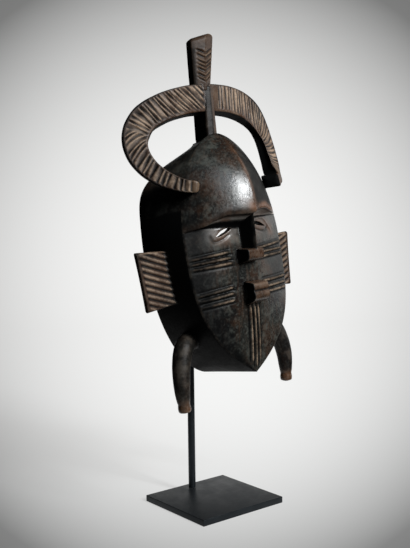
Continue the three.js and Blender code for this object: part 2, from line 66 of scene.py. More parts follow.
FACE = {
    "height": 203.3,
    "half_width": 55.5,
    "widest_at": 112.5,
    "top_curve": (1.9, 0.56),
    "chin_fullness": (3.2, 3.8),
    "chin_depth": 62.0,
    "backward_lean": 0.157,
    "ridge_share": 0.35,
    "forehead_rise": 32.5,
    "forehead_from": 142.5,
    "forehead_curve": (2.4, 0.9),
    "cheek_rise": 13.0,
    "cheek_full_at": 84.0,
    "cheek_curve": 1.55,
}
# The brow's edge and the foot of its underside: share of the face's half width, height
BROW_EDGE = (
    (-1.0, 123.2), (-0.9, 124.8), (-0.8, 126.3), (-0.7, 128.4), (-0.6, 131.6), (-0.5, 133.9), (-0.35, 135.2),
    (-0.12, 135.0), (0.0, 135.4), (0.08, 137.0), (0.2, 138.0), (0.31, 138.0), (0.45, 137.0), (0.63, 134.4),
    (0.8, 132.6), (1.0, 131.0),
)
BROW_FOOT = (
    (-1.0, 122.4), (-0.9, 124.2), (-0.75, 125.3), (-0.6, 125.5), (-0.45, 125.2), (-0.29, 124.6), (-0.09, 123.9),
    (0.05, 125.0), (0.2, 128.5), (0.38, 130.4), (0.54, 130.4), (0.8, 130.3), (1.0, 130.0),
)
BROW_ROUND = {"height": 5.0, "depth": 2.6}
RIM = {
    "top": 196.0,
    "bottom": -8.2,
    "widest_at": 135.3,
    "half_width": 65.0,
    "top_curve": (3.2, 1.6),
    "bottom_curve": (2.2, 0.58),
    "bulge": 1.6,
    "bulge_from": 20.0,
}
HOLLOW = {
    "width_scale": 0.86,
    "height_scale": 0.91,
    "wall": 10.5,
    "forehead_rise": 21.0,
    "cheek_rise": 8.0,
    "fade_from": 95.0,
    "fade_to": 140.0,
}
EYE = {
    "inner": ((12.2, 123.6), (12.2, 126.0)),
    "outer": ((27.2, 117.7), (31.5, 121.8)),
    "upper_bend": ((20.9, 124.6), (23.5, 128.2)),
    "lower_bend": ((18.6, 118.7), (22.0, 122.6)),
    "widening": 2.2,
    "inner_shift": (4.0, -2.4),
    "cut_from": 36.0,
    "straight_from": 50.0,
    "cut_to": 90.0,
}
# Carved lines about the eyes: side, breadth, rise (a groove where negative) and x, height along the line
EYE_LINES = (
    (LEFT, 0.9, 0.7, ((26.6, 122.7), (17.6, 125.1), (9.0, 125.0), (5.7, 124.0))),
    (LEFT, 1.1, -0.9, ((32.8, 119.2), (30.4, 113.8), (22.6, 114.9), (12.8, 119.7))),
    (LEFT, 0.9, -0.5, ((30.0, 124.5), (19.0, 128.0), (8.0, 127.5))),
    (RIGHT, 0.9, 0.6, ((12.0, 126.5), (20.5, 129.0), (30.2, 128.3), (37.9, 120.7), (41.4, 115.0))),
    (RIGHT, 1.1, -0.8, ((13.0, 122.0), (22.6, 118.5), (31.0, 117.5), (35.5, 121.0))),
)
NOSE = {
    "top": 136.0,
    "foot": 105.5,
    "top_half_width": 4.5,
    "foot_half_width": 5.5,
    "top_depth": 69.5,
    "tip_depth": 71.5,
    "blunt": 0.16,
}
NOSTRILS = {
    "centre": -0.9,
    "half_width": 9.4,
    "foot": 92.8,
    "front": ((70.0, 96.8), (71.5, 98.8), (71.5, 105.0), (70.5, 106.0)),
    "top": 106.0,
}
LIPS = {
    "centre": 0.0,
    "half_width": 9.0,
    "foot": 57.6,
    "front": ((71.5, 62.0), (75.0, 65.0), (75.5, 68.8), (72.5, 71.8), (74.5, 72.8), (73.5, 77.6)),
    "top": 78.6,
}
# How deep the nose and the blocks are rooted in the face, and how the blocks' ends are rounded
ROOT = 4.0
BLOCK_ROUND = 0.9

SCAR = {"rise": 1.25, "half_breadth": 1.25, "trough": 0.45, "trough_at": 2.3, "trough_half_breadth": 1.0}
SCAR_SETS = (
    (LEFT, 15.5, (104.8, 99.9, 95.4), (101.0, 97.0, 93.0)),
    (RIGHT, 11.0, (104.0, 100.6, 96.6), (106.2, 100.2, 96.5)),
    (LEFT, 18.0, (75.6, 70.6, 65.0), (71.2, 66.8, 61.8)),
    (RIGHT, 12.0, (76.2, 71.0, 66.6), (76.1, 70.8, 66.2)),
)
# Rubbed patches of the face: x, height, half width, half height and strength
RUBBED = (
    (-1.0, 141.5, 6.5, 5.5, 1.0),
    (16.0, 141.0, 11.0, 3.2, 1.0),
    (9.0, 120.0, 5.0, 7.0, 0.35),
    (24.0, 122.0, 9.0, 5.0, 0.45),
    (-22.0, 121.0, 12.0, 5.0, 0.3),
    (0.0, 66.0, 9.0, 7.0, 0.5),
)
CHIN_LINES = {"spacing": 4.4, "top": 59.0, "foot": 3.0, "outer_foot_rise": 5.3}

STEM = {
    "foot": 192.0,
    "top": 243.0,
    "foot_half_width": 6.0,
    "top_half_width": 4.6,
    "foot_depth": 28.5,
    "top_depth": 26.6,
    "ridge": 1.6,
    "thickness": 18.0,
}
CREST = {
    "foot": 240.0,
    "top": 288.0,
    "foot_half_width": 8.7,
    "top_half_width": 13.0,
    "foot_shift": -3.5,
    "top_slant": 3.5,
    "slant_from": 0.7,
    "taper": 0.8,
    "depth": 26.2,
    "ridge": 4.9,
    "thickness": 8.0,
    "rounded_end": 4.0,
    "chevron_from": 247.2,
    "chevron_to": 273.4,
    "chevron_rise": 5.5,
    "pitch": 3.75,
}
HORN = {
    "path": (
        (0.0, 25.3, 234.1),
        (25.0, 24.5, 231.9),
        (48.8, 20.2, 226.1),
        (66.2, 16.0, 216.8),
        (74.9, 15.4, 203.3),
        (76.2, 19.0, 190.3),
        (72.0, 26.8, 177.3),
        (63.8, 37.0, 167.6),
        (54.9, 48.0, 161.8),
        (45.2, 55.6, 159.6),
    ),
    "width": (22.9, 22.6, 8.6),
    "thickness": (11.0, 7.5, 13.0),
    "back_broader": (3.2, 2.2, 0.5),
    "bend_at": 0.5,
    "spread": (0.986, 0.98),
    "tip_spread": (1.0, 1.07),
    "shoulder_lift": (0.0, 1.5),
    "knob": (0.6, 2.4),
    "knob_from": 0.965,
    "end_from": 0.982,
    "outward_turn": (25.0, 23.0),
    "front_broader": (0.0, 3.0),
    "turned_by": 0.35,
    "tip_turn": (25.0, -6.0),
    "tip_turn_from": 0.5,
    "tip_turn_by": 0.92,
}
# Rubbed places of each horn: along, across, half length, half width and strength
HORN_RUBBED = {
    LEFT: ((30.0, 0.0, 13.0, 7.0, 0.7), (78.0, -1.0, 15.0, 6.0, 0.9), (160.0, 0.0, 12.0, 9.0, 1.0)),
    RIGHT: ((28.0, 0.0, 24.0, 8.0, 0.7), (90.0, 0.0, 26.0, 7.0, 0.9), (132.0, 0.0, 24.0, 8.0, 0.9)),
}
# How much darker and duller the front of each horn is made: shares of its length, then how much there
HORN_DARKENING = {LEFT: ((0, 0.25, 0.45, 0.6, 1), (0.0, 0.15, 0.35, 0.3, 0.25)), RIGHT: ((0, 1), (0.0, 0.05))}
# Ridges of each horn, in millimetres along it and across its front: their pitch and slant before a break and after
# it, where the break lies, how it slants, and where the ridges begin and end, from the middle or, if negative, the tip
HORN_RIDGES = {
    LEFT: {
        "pitch": 6.0, "far_pitch": 4.8, "break": 82.0, "break_slant": 0.0, "begins": (4, 7), "ends": (-7, -4),
        "slant": (1.1, 0.1, 8, 78), "far_slant": (0.9, 0.15, 84, 130), "closer_by": 0.08, "closer_from": 22,
    },
    RIGHT: {
        "pitch": 4.0, "far_pitch": 4.2, "break": 76.0, "break_slant": -0.6, "begins": (8, 12), "ends": (122, 128),
        "far_slant": (-0.45, -0.45, 0, 1),
    },
}
HORN_ROWS = 320
# Columns across the carved fronts of the horns, the crest and the ears
HORN_COLUMNS, CREST_COLUMNS, EAR_COLUMNS = 25, 29, 44
EAR = {
    "top": 110.8,
    "foot": 61.6,
    "outer_top": 90.2,
    "outer_foot": (86.0, 86.2),
    "inner_top": 52.0,
    "inner_foot": 45.0,
    "top_depth": 24.2,
    "foot_depth": 28.8,
    "thickness": 5.0,
    "inner_top_drop": 2.0,
    "inner_foot_lift": 4.0,
    "ridges": 9,
    "slope": 15.0,
    "edge_scoop": 0.4,
    "corner": 1.6,
    "inner_forward": 2.0,
    "border_from": 0.9,
}
LEG = {
    "path": (
        (37.0, 27.0, 30.0),
        (46.4, 28.8, 31.0),
        (54.3, 32.2, 26.5),
        (59.7, 34.5, 15.0),
        (62.3, 36.3, 2.0),
        (62.7, 37.0, -11.0),
        (61.9, 37.6, -25.0),
    ),
    "radii": (7.0, 8.0, 8.2, 8.0, 7.6, 7.1, 6.4, 5.6, 5.0, 5.5, 5.3, 3.6),
    "stations": (0, 0.12, 0.24, 0.36, 0.5, 0.64, 0.77, 0.86, 0.895, 0.94, 0.98, 1),
}

# Stand, in the object's own frame in millimetres
ROD = {"radius": 3.25, "behind_centre": 31.7, "elbow_height": 262.0, "elbow_radius": 14.0}
ARM = {"rise": 32.0, "reach": 62.8}
PLATE_EDGE = 0.45
SHINE = {"rod": 0.35, "plate": 0.2}

# The photograph's camera, in metres, degrees and pixels
CAMERA = {
    "azimuth": -38.71,
    "elevation": 4.18,
    "roll": -0.72,
    "focal_pixels": 842.7,
    "target": (0.036257, 0.05408, 0.2),
    "distance": 0.80537,
    "image_height": 548,
    "sensor": 36.0,
}

# The studio's sweep, in metres. Its light has fallen to nothing at dark_at, a tangent from the view's axis, where it
# shows as the dimmest share of its full glow. The floor under the picture keeps some light about a place.
SWEEP = {
    "near": -2.2,
    "far": 1.2,
    "bend": 0.8,
    "top": 3.2,
    "half_width": 3.5,
    "dark_at": 0.427,
    "falloff": 2.5,
    "dimmest": 0.22,
    "forelight_at": (0.05, -0.3),
    "forelight_fades": (0.55, 0.15),
    "below_picture": (0.335, 0.4),
}
# Where the lamps are aimed and how far off they stand, in metres. For the weak ones also their azimuth and elevation
# in degrees, size and colour.
LAMPS = {
    "aimed_at": (0.0, 0.0, 0.22),
    "distance": 1.6,
    "key_colour": (0.97, 0.99, 1.0),
    "key_height_to_width": 1.5,
    "fill": (-16, 42, 0.7, (0.85, 0.94, 1.0)),
    "side": (85, 15, 1.2, (1.0, 1.0, 1.0)),
}


# Curves and small formulas

def lerp(a, b, t):
    return a + (b - a) * t


def clamped(value, low=0.0, high=1.0):
    return np.clip(value, low, high)


def smoothstep(value, start, end):
    """0 before start and 1 after end, with an S-shaped cubic between them."""
    t = clamped((value - start) / (end - start))
    return t * t * (3 - 2 * t)


def between(value, start, full, fades, end):
    """0 outside start..end and 1 from full to fades, with S-shaped cubics between them."""
    return smoothstep(value, start, full) * (1 - smoothstep(value, fades, end))


def bell(value, at, breadth):
    """exp(-((value - at) / breadth)^2): a bell of height 1 about a value."""
    return np.exp(-(((value - at) / breadth) ** 2))


def falling(u, powers):
    """(1 - u^late)^steep: falls from 1 to 0 as u goes from 0 to 1."""
    late, steep = powers
    return (1 - u ** late) ** steep


def by_side(side, pair):
    """The pair's first value on the mask's left and its second on the right."""
    return np.where(np.asarray(side) < 0, pair[0], pair[1])


def step_lengths(path):
    return np.linalg.norm(np.diff(path, axis=0), axis=1)


def smooth_path(points, steps=40):
    """Points along the centripetal Catmull-Rom curve through the given ones: cubic Hermite spans whose knots are
    apart by the square root of the chord."""
    given = np.array(points, float)
    p = np.vstack([2 * given[0] - given[1], given, 2 * given[-1] - given[-2]])
    gap = step_lengths(p)[:, None] ** 0.5
    before, here, after = gap[:-2], gap[1:-1], gap[2:]
    chord = np.diff(p, axis=0)
    start = (chord[:-2] / before - (p[2:-1] - p[:-3]) / (before + here) + chord[1:-1] / here) * here
    end = (chord[1:-1] / here - (p[3:] - p[1:-2]) / (here + after) + chord[2:] / after) * here
    t = np.linspace(0, 1, steps, endpoint=False)[None, :, None]
    spans = (
        (2 * t ** 3 - 3 * t ** 2 + 1) * p[1:-2, None]
        + (t ** 3 - 2 * t ** 2 + t) * start[:, None]
        + (3 * t ** 2 - 2 * t ** 3) * p[2:-1, None]
        + (t ** 3 - t ** 2) * end[:, None]
    )
    return np.vstack([spans.reshape(-1, 3), p[-2]])


def path_at(path, t):
    """The point of a path at the share t of its length."""
    steps = step_lengths(path)
    reached = np.concatenate([[0], np.cumsum(steps)]) / steps.sum()
    return np.stack([np.interp(t, reached, axis) for axis in path.T], -1)


def eased(count):
    """Shares from 0 to 1 that lie close together at both ends, (1 - cos) / 2."""
    return (1 - np.cos(np.linspace(0, math.pi, count))) / 2


def unit(vectors):
    return vectors / np.linalg.norm(vectors, axis=-1, keepdims=True)


def path_direction(path, t, step=0.004):
    """The unit direction of a path at the share t of its length."""
    return unit(path_at(path, clamped(t + step)) - path_at(path, clamped(t - step)))


def softened(grid, times):
    """The grid with every ring averaged with its neighbours along the ring, (before + 2 here + after) / 4."""
    for _ in range(times):
        before, after = np.roll(grid, 1, 1), np.roll(grid, -1, 1)
        grid = (before + 2 * grid + after) / 4
    return grid


def pointed_ends(rings):
    """The rings with their first and last rows drawn together to a point, which closes both ends."""
    first, last = rings[:1].mean(1, keepdims=True), rings[-1:].mean(1, keepdims=True)
    shape = (1, rings.shape[1], 3)
    return np.concatenate([np.broadcast_to(first, shape), rings, np.broadcast_to(last, shape)])


def seated(points):
    """Mask-frame millimetres (x, depth, height) as metres of the object's frame: y is minus the depth, then the
    lean about y, the turn about z and the move."""
    lean = Matrix.Rotation(math.radians(-SEAT["lean"]), 3, "Y")
    turn = Matrix.Rotation(math.radians(SEAT["turn"]), 3, "Z")
    return (points * (1, -1, 1) @ np.array(turn @ lean).T + SEAT["place"]) * MM


def stacked(*parts):
    """Arrays of coordinates, stretched to one shape and joined into points."""
    return np.stack(np.broadcast_arrays(*parts), -1)


def around(face_x, face_depth, half, rear_x, depths, sides, rear):
    """The x and depth of rings that go over a carved face of the given half width, down its right side, along the
    rear and up its left side. The rear's right and left ends are given, the depths of the face's corners and of
    the rear, and the shares at which the sides and the rear are divided."""
    (right, left), (corner, back) = rear_x, depths
    x = [face_x, lerp(half, right, sides), lerp(right, left, rear), lerp(left, -half, sides)]
    depth = [face_depth, lerp(corner, back, sides), back + 0 * rear, lerp(back, corner, sides)]
    return np.hstack(x), np.hstack(depth)


def tube(centre, radius, front, across, count):
    """Rings of count points about a centre line, each at its radius, spanned by the front and across directions."""
    angle = np.linspace(0, 2 * math.pi, count + 1)[:-1]
    return (
        centre[:, None]
        + (radius[:, None] * np.cos(angle))[..., None] * front[:, None]
        + (radius[:, None] * np.sin(angle))[..., None] * across[:, None]
    )


# Meshes from grids

# What every carved surface starts from: kept marks points that a part brings along, inside the bare wood of the
# hollow, matte the coarser wood of the horns and ears, line the tops of carved ridges and a painted highlight along
# the ears' top edges, shade painted shade, black on the unlit sides and in shadowed corners and grooves and darker
# and duller elsewhere, dull the places without polish, warm those where the patina has worn to brown, and pale
# painted light, bounce light under the brow and a sheen about the eyes.
BARE = {
    "kept": 1.0, "inside": 0.0, "matte": 0.0, "line": 0.0, "shade": 0.0, "dull": 0.0, "warm": 0.0, "pale": 0.0,
}


def carved_form(name, rings, pointed=True, **wear):
    """A carved form's mesh from rings in the mask's frame, with its own wear, painted shade and painted light over the
    bare one.
    """
    return grid_mesh(name, seated(rings), {**BARE, **wear}, pointed)


def on_front(values, rings, elsewhere=0.0):
    """Values over the carved front, which is the first columns of the rings, and one value over all the others."""
    return np.hstack([values, np.full((len(rings), rings.shape[1] - values.shape[1]), elsewhere)])


def split_quads(ids):
    """Two triangles for each square of a grid of vertex numbers."""
    a, b, c, d = ids[:-1, :-1], ids[:-1, 1:], ids[1:, 1:], ids[1:, :-1]
    return np.concatenate([np.stack([a, b, c], -1).reshape(-1, 3), np.stack([a, c, d], -1).reshape(-1, 3)])


def grid_mesh(name, rings, attributes=None, pointed=True):
    """A closed mesh through rings of points in metres, given as (rows, columns, 3). Each ring closes on itself,
    points that coincide are merged, and quads are split in two with their faces turned outwards. Pointed ends
    draw the first and last rows together, which closes them."""
    rows, columns = rings.shape[:2]
    values = {key: np.broadcast_to(value, (rows, columns)) for key, value in (attributes or {}).items()}
    if pointed:
        rings = pointed_ends(rings)
        values = {key: np.vstack([value[:1], value, value[-1:]]) for key, value in values.items()}
        rows += 2
    flat = rings.reshape(-1, 3)
    _, first, merged = np.unique(np.round(flat * 1e7).astype(np.int64), axis=0, return_index=True, return_inverse=True)
    ids = merged.reshape(rows, columns)
    triangles = split_quads(np.hstack([ids, ids[:, :1]]))
    whole = (triangles[:, 0] != triangles[:, 1]) & (triangles[:, 1] != triangles[:, 2])
    whole &= triangles[:, 2] != triangles[:, 0]
    triangles = triangles[whole]
    points = flat[first]
    corners = points[triangles]
    if np.einsum("ij,ij->", corners[:, 0], np.cross(corners[:, 1], corners[:, 2])) < 0:
        triangles = triangles[:, ::-1]
    mesh = triangle_mesh(name, points, triangles)
    for key, value in values.items():
        put_attribute(mesh, key, value.reshape(-1)[first])
    return mesh


def triangle_mesh(name, points, triangles):
    """A mesh from arrays of points and of triangles, shaded smooth."""
    mesh = bpy.data.meshes.new(name)
    mesh.vertices.add(len(points))
    mesh.vertices.foreach_set("co", np.ascontiguousarray(points, np.float32).ravel())
    mesh.loops.add(3 * len(triangles))
    mesh.loops.foreach_set("vertex_index", np.ascontiguousarray(triangles, np.int32).ravel())
    mesh.polygons.add(len(triangles))
    mesh.polygons.foreach_set("loop_start", np.arange(0, 3 * len(triangles), 3, dtype=np.int32))
    mesh.polygons.foreach_set("use_smooth", np.ones(len(triangles), bool))
    mesh.update(calc_edges=True)
    if mesh.validate():
        raise RuntimeError(f"{name} has faces that are not valid")
    return mesh


def put_attribute(mesh, name, values):
    attribute = mesh.attributes.get(name) or mesh.attributes.new(name, "FLOAT", "POINT")
    attribute.data.foreach_set("value", np.ascontiguousarray(values, np.float32))


def read(items, key, width=1, kind=np.float32):
    """A property of each of a mesh's items, such as its vertices: one number, or a row of as many as the width."""
    values = np.empty(width * len(items), kind)
    items.foreach_get(key, values)
    return values.reshape(-1, width) if width > 1 else values


def put_in_scene(name, mesh):
    piece = bpy.data.objects.new(name, mesh)
    bpy.context.scene.collection.objects.link(piece)
    return piece


def combined(base, joins, cuts):
    """The base mesh united with each of the joins and cut by each of the cuts, as one closed mesh."""
    body = put_in_scene("body", base)
    tools = []
    for operation, meshes in (("UNION", joins), ("DIFFERENCE", cuts)):
        for mesh in meshes:
            tool = put_in_scene(mesh.name, mesh)
            modifier = body.modifiers.new(mesh.name, "BOOLEAN")
            modifier.operation = operation
            modifier.solver = "MANIFOLD"
            modifier.object = tool
            tools.append(tool)
    result = bpy.data.meshes.new_from_object(body.evaluated_get(bpy.context.evaluated_depsgraph_get()))
    for used in [body, *tools]:
        bpy.data.objects.remove(used)
    return result


def neighbour_mean(edges, values, weights=None):
    """Each vertex's mean of its neighbours' values, weighted where weights are given."""
    count = len(values)
    weights = np.ones(count) if weights is None else weights
    a, b = edges.T
    total = np.bincount(a, weights[b], count) + np.bincount(b, weights[a], count)
    columns = values.reshape(count, -1)
    sums = [
        np.bincount(a, weights[b] * column[b], count) + np.bincount(b, weights[a] * column[a], count)
        for column in columns.T
    ]
    mean = np.stack(sums, -1) / np.maximum(total, 1e-9)[:, None]
    mean = np.where(total[:, None] > 0, mean, columns)
    return mean.reshape(values.shape)


def vertex_normals(points, triangles):
    """Unit normals of the vertices, the sum of their faces' area vectors."""
    corners = points[triangles]
    face = np.cross(corners[:, 1] - corners[:, 0], corners[:, 2] - corners[:, 0])
    normals = np.stack(
        [
            sum(np.bincount(triangles[:, corner], face[:, axis], len(points)) for corner in range(3))
            for axis in range(3)
        ],
        -1,
    )
    return normals / np.maximum(np.linalg.norm(normals, axis=1, keepdims=True), 1e-12)


# Face

def face_half_width(height, side):
    """Half the almond's width: blunt above its widest line and drawn to a point below it."""
    up = clamped((height - FACE["widest_at"]) / (FACE["height"] - FACE["widest_at"]))
    down = clamped((FACE["widest_at"] - height) / FACE["widest_at"])
    fullness = by_side(side, FACE["chin_fullness"])
    return FACE["half_width"] * falling(up, FACE["top_curve"]) * (1 - down ** fullness)


def edge_depth(height):
    """The almond's edge leans back on a straight line from the chin to the top."""
    return FACE["chin_depth"] - FACE["backward_lean"] * height


def dome_fall(s):
    """How the face falls from its middle line to its edge: a slight ridge on a parabola."""
    return 1 - FACE["ridge_share"] * np.abs(s) - (1 - FACE["ridge_share"]) * s * s


def forehead_rise(height, full=FACE["forehead_rise"]):
    """How far the forehead's middle line stands out from the edge, a rounded quarter from the top down."""
    up = clamped((height - FACE["forehead_from"]) / (FACE["height"] - FACE["forehead_from"]))
    return full * falling(up, FACE["forehead_curve"])


def cheek_rise(height, full=FACE["cheek_rise"]):
    """The same for the cheeks and the chin, from the chin's tip up."""
    return full * (1 - clamped(1 - height / FACE["cheek_full_at"]) ** FACE["cheek_curve"])


def along_brow(points, s):
    """The height at s of a smooth curve through points of (s, height)."""
    path = smooth_path([(at, 0, height) for at, height in points], 12)
    return np.interp(s, path[:, 0], path[:, 2])


def brow_foot(s):
    """The line where the brow's underside meets the cheeks."""
    return along_brow(BROW_FOOT, s)


def brow_edge(s):
    """The brow's edge: it comes down to meet the cheek on the left and is arched over the right eye."""
    return along_brow(BROW_EDGE, s)


def cheek_depth(s, height):
    return edge_depth(height) + cheek_rise(height) * dome_fall(s)


def forehead_depth(s, height):
    return edge_depth(height) + forehead_rise(height) * dome_fall(s)


def raised_lines():
    """Start and end (x, height) of every raised line: the scars on the cheeks, then the lines down the chin."""
    lines = []
    for side, inner, inner_heights, outer_heights in SCAR_SETS:
        for inner_height, outer_height in zip(inner_heights, outer_heights):
            outer = float(face_half_width(outer_height, side)) - 1
            lines.append((side * inner, inner_height, side * outer, outer_height))
    for line in (-1, 0, 1):
        x = line * CHIN_LINES["spacing"]
        lines.append((x, CHIN_LINES["top"], x, CHIN_LINES["foot"] + abs(line) * CHIN_LINES["outer_foot_rise"]))
    return lines


def carved_lines(x, height):
    """The raised lines' height over the cheeks: a rounded ridge between two shallow troughs, drawn out at its
    ends. Returns the height and how near each point is to a ridge's top and to a trough's bottom."""
    rise, crest, low = np.zeros_like(x), np.zeros_like(x), np.zeros_like(x)
    for x0, h0, x1, h1 in raised_lines():
        length = math.hypot(x1 - x0, h1 - h0)
        ux, uh = (x1 - x0) / length, (h1 - h0) / length
        along = (x - x0) * ux + (height - h0) * uh
        off = np.abs((x - x0) * -uh + (height - h0) * ux)
        ends = between(along, -2.0, 5.0, length - 4.0, length + 1.0)
        ridge, trough = bell(off, 0, SCAR["half_breadth"]), bell(off, SCAR["trough_at"], SCAR["trough_half_breadth"])
        rise += ends * (SCAR["rise"] * ridge - SCAR["trough"] * trough)
        crest = np.maximum(crest, ends * ridge)
        low = np.maximum(low, ends * trough)
    return rise, crest, low * (1 - crest)


def rim_half_width(height):
    """Half the rim's width: a roof with round shoulders above, and a long oval below."""
    up = clamped((height - RIM["widest_at"]) / (RIM["top"] - RIM["widest_at"]))
    down = clamped((RIM["widest_at"] - height) / (RIM["widest_at"] - RIM["bottom"]))
    return RIM["half_width"] * falling(up, RIM["top_curve"]) * falling(down, RIM["bottom_curve"])


def rim_point(face_height, side):
    """The rim's x and height beside a height of the face."""
    height = RIM["bottom"] + (face_height / FACE["height"]) * (RIM["top"] - RIM["bottom"])
    return side * rim_half_width(height), height


FOREHEAD_ROWS, BROW_ROWS, UNDERSIDE_ROWS, EYE_ROWS, CHIN_ROWS = 60, 8, 11, 112, 52
FACE_COLUMNS, WALL_COLUMNS, RIM_COLUMNS, HOLLOW_COLUMNS, INNER_WALL_COLUMNS = 112, 15, 5, 14, 6
# How much of the cheeks, from the brow down, has the finer rows that the eyes and scars need
FINE_SHARE = 0.53
# Columns at each side of the face that are softened with the walls
SOFT_EDGE = 3
# Heights between which the walls' painted shade gives way to the forehead's polish
ROOF = (150, 180)
# Share of the brow's underside, from its foot, that is painted as a shadowed corner
SHADOWED_CORNER = (0.5, 0.12)


def face_rows(s):
    """Heights and depths of the face over s, from its left edge at -1 to its right at 1. Rows run down the
    forehead, round the brow's edge, along its hollow underside and down the cheeks to the chin's tip."""
    edge = brow_edge(s)
    down = np.linspace(0, 1, FOREHEAD_ROWS, endpoint=False)[:, None] ** 1.3
    forehead = lerp(FACE["height"], edge + BROW_ROUND["height"], down)
    turn = np.linspace(0, math.pi / 2, BROW_ROWS)[:, None]
    brow = edge + BROW_ROUND["height"] * (1 - np.sin(turn))
    rounding = BROW_ROUND["depth"] * (1 - np.cos(turn)) * dome_fall(s) ** 0.5
    v = np.linspace(0, 1, UNDERSIDE_ROWS + 1)[1:, None]
    under = lerp(edge, brow_foot(s), v)
    back = v + 0.6 * v * (1 - v)
    front_depth = forehead_depth(s, under) - BROW_ROUND["depth"] * dome_fall(s) ** 0.5
    under_depth = lerp(front_depth, cheek_depth(s, under), back)
    fine = np.linspace(0, FINE_SHARE, EYE_ROWS, endpoint=False)[1:]
    coarse = np.linspace(FINE_SHARE, 1, CHIN_ROWS)
    share = (1 - np.concatenate([fine, coarse]))[:, None]
    cheeks = brow_foot(s) * share
    heights = np.vstack([forehead, brow, under, cheeks])
    depths = np.vstack([
        forehead_depth(s, forehead),
        forehead_depth(s, brow) - rounding,
        under_depth,
        cheek_depth(s, cheeks),
    ])
    return heights, depths


def eye_curves(side, count=24):
    """The eye's upper and lower arcs, two parabolas from its inner to its outer corner."""
    t = np.linspace(0, 1, count)[:, None]
    arcs = []
    for bend in ("upper_bend", "lower_bend"):
        inner, middle, outer = (np.array(EYE[key][side > 0]) * (side, 1) for key in ("inner", bend, "outer"))
        arcs.append((1 - t) ** 2 * inner + 2 * t * (1 - t) * middle + t * t * outer)
    return arcs


def lids(x, height):
    """The carved lines about the eyes: for each a rounded ridge or groove along its curve, drawn out at the ends."""
    relief = np.zeros_like(x)
    for side, breadth, rise, points in EYE_LINES:
        path = smooth_path([(side * px, 0, ph) for px, ph in points], 12)
        share = np.linspace(0, 1, len(path))
        fade = between(share, 0, 0.15, 0.85, 1)
        nearest = np.zeros_like(x)
        for (px, _, ph), strength in zip(path, fade):
            off = (x - px) ** 2 + (height - ph) ** 2
            nearest = np.maximum(nearest, strength * np.exp(-off / breadth ** 2))
        relief += rise * nearest
    return relief


def shell_mesh():
    """The hollow shell, one closed grid. Each ring runs from the left rim over the side wall and the face to the
    right rim, then over the rim's thickness and through the hollow back to the start."""
    q = np.linspace(-1, 1, FACE_COLUMNS + 1)
    s = (np.sign(q) * np.abs(q) ** 1.2)[None, :]
    heights, depths = face_rows(s)
    x = s * face_half_width(heights, s)
    lines, crest, low = carved_lines(x, heights)
    on_cheek = heights < brow_foot(s) + 0.1
    depths = depths + np.where(on_cheek, lines + lids(x, heights), 0)
    face = stacked(x, depths, heights)

    middle_heights = heights[:, FACE_COLUMNS // 2]
    half = FACE["height"] / 2
    level = (half + (middle_heights - half) * HOLLOW["height_scale"])[:, None]
    inner_half = face_half_width(middle_heights, LEFT) * HOLLOW["width_scale"]
    u = np.linspace(-1, 1, HOLLOW_COLUMNS + 1)[None, :]
    inside = stacked(u * inner_half[:, None], hollow_front(u, level), level)
    outer_shares, inner_shares = eased(WALL_COLUMNS + 1)[1:], np.linspace(0, 1, INNER_WALL_COLUMNS + 1)[1:]
    scales = HOLLOW["width_scale"], HOLLOW["height_scale"]
    walls, inner_walls = {}, {}
    for side, column in ((LEFT, 0), (RIGHT, -1)):
        walls[side] = side_wall(face[:, column], heights[:, column], side, outer_shares)
        inner_walls[side] = side_wall(inside[:, column], middle_heights, side, inner_shares, *scales)

    def rim_band(outer, inner):
        w = eased(RIM_COLUMNS + 2)[1:-1]
        return lerp(outer[:, None], inner[:, None], w[None, :, None])

    parts = [
        walls[LEFT][:, ::-1],
        face,
        walls[RIGHT],
        rim_band(walls[RIGHT][:, -1], inner_walls[RIGHT][:, -1]),
        inner_walls[RIGHT][:, ::-1],
        inside[:, ::-1],
        inner_walls[LEFT],
        rim_band(inner_walls[LEFT][:, -1], walls[LEFT][:, -1]),
    ]
    rings = np.concatenate(parts, 1)
    columns = [part.shape[1] for part in parts]
    rounded = softened(rings, 2)
    keep = np.zeros(rings.shape[1])
    keep[columns[0] + SOFT_EDGE:columns[0] + columns[1] - SOFT_EDGE] = 1
    rings = lerp(rounded, rings, keep[None, :, None])
    rings[..., 1] = np.maximum(rings[..., 1], 0)
    inner = np.zeros(rings.shape[1])
    inner[sum(columns[:4]) - 1:sum(columns[:7]) + 1] = 1
    front = slice(columns[0], columns[0] + columns[1])
    on_face = {
        "line": crest * on_cheek,
        "warm": face_warmth(x, heights, s, on_cheek),
        # Painted shade in the troughs beside the raised lines
        "shade": np.maximum(face_shade(x, heights, s), 0.65 * low * on_cheek),
        # pale is painted light: bounce light under the brow and a sheen about the eyes
        "pale": face_painted_light(x, heights, s),
        "dull": face_dullness(x, heights, s),
    }
    # The face's and the walls' values: wear, painted shade and painted light alike
    worn = {key: np.zeros(rings.shape[:2]) for key in on_face}
    # Painted shade on the walls and in the hollow: black low down, less towards the top where the walls face upwards
    upper = smoothstep(middle_heights, *ROOF)[:, None]
    worn["shade"][:, :front.start] = 1 - 0.5 * upper
    worn["shade"][:, front.stop:] = 1 - 0.8 * upper
    for key, values in on_face.items():
        worn[key][:, front] = values
    return carved_form("shell", rings, False, inside=inner, **worn)


def patches_of(patches, first, second, warm):
    """The warmth raised by oval patches, each a bell about a place of given half sizes and strength."""
    for at_first, at_second, reach_first, reach_second, strength in patches:
        warm = np.maximum(warm, strength * bell(first, at_first, reach_first) * bell(second, at_second, reach_second))
    return warm


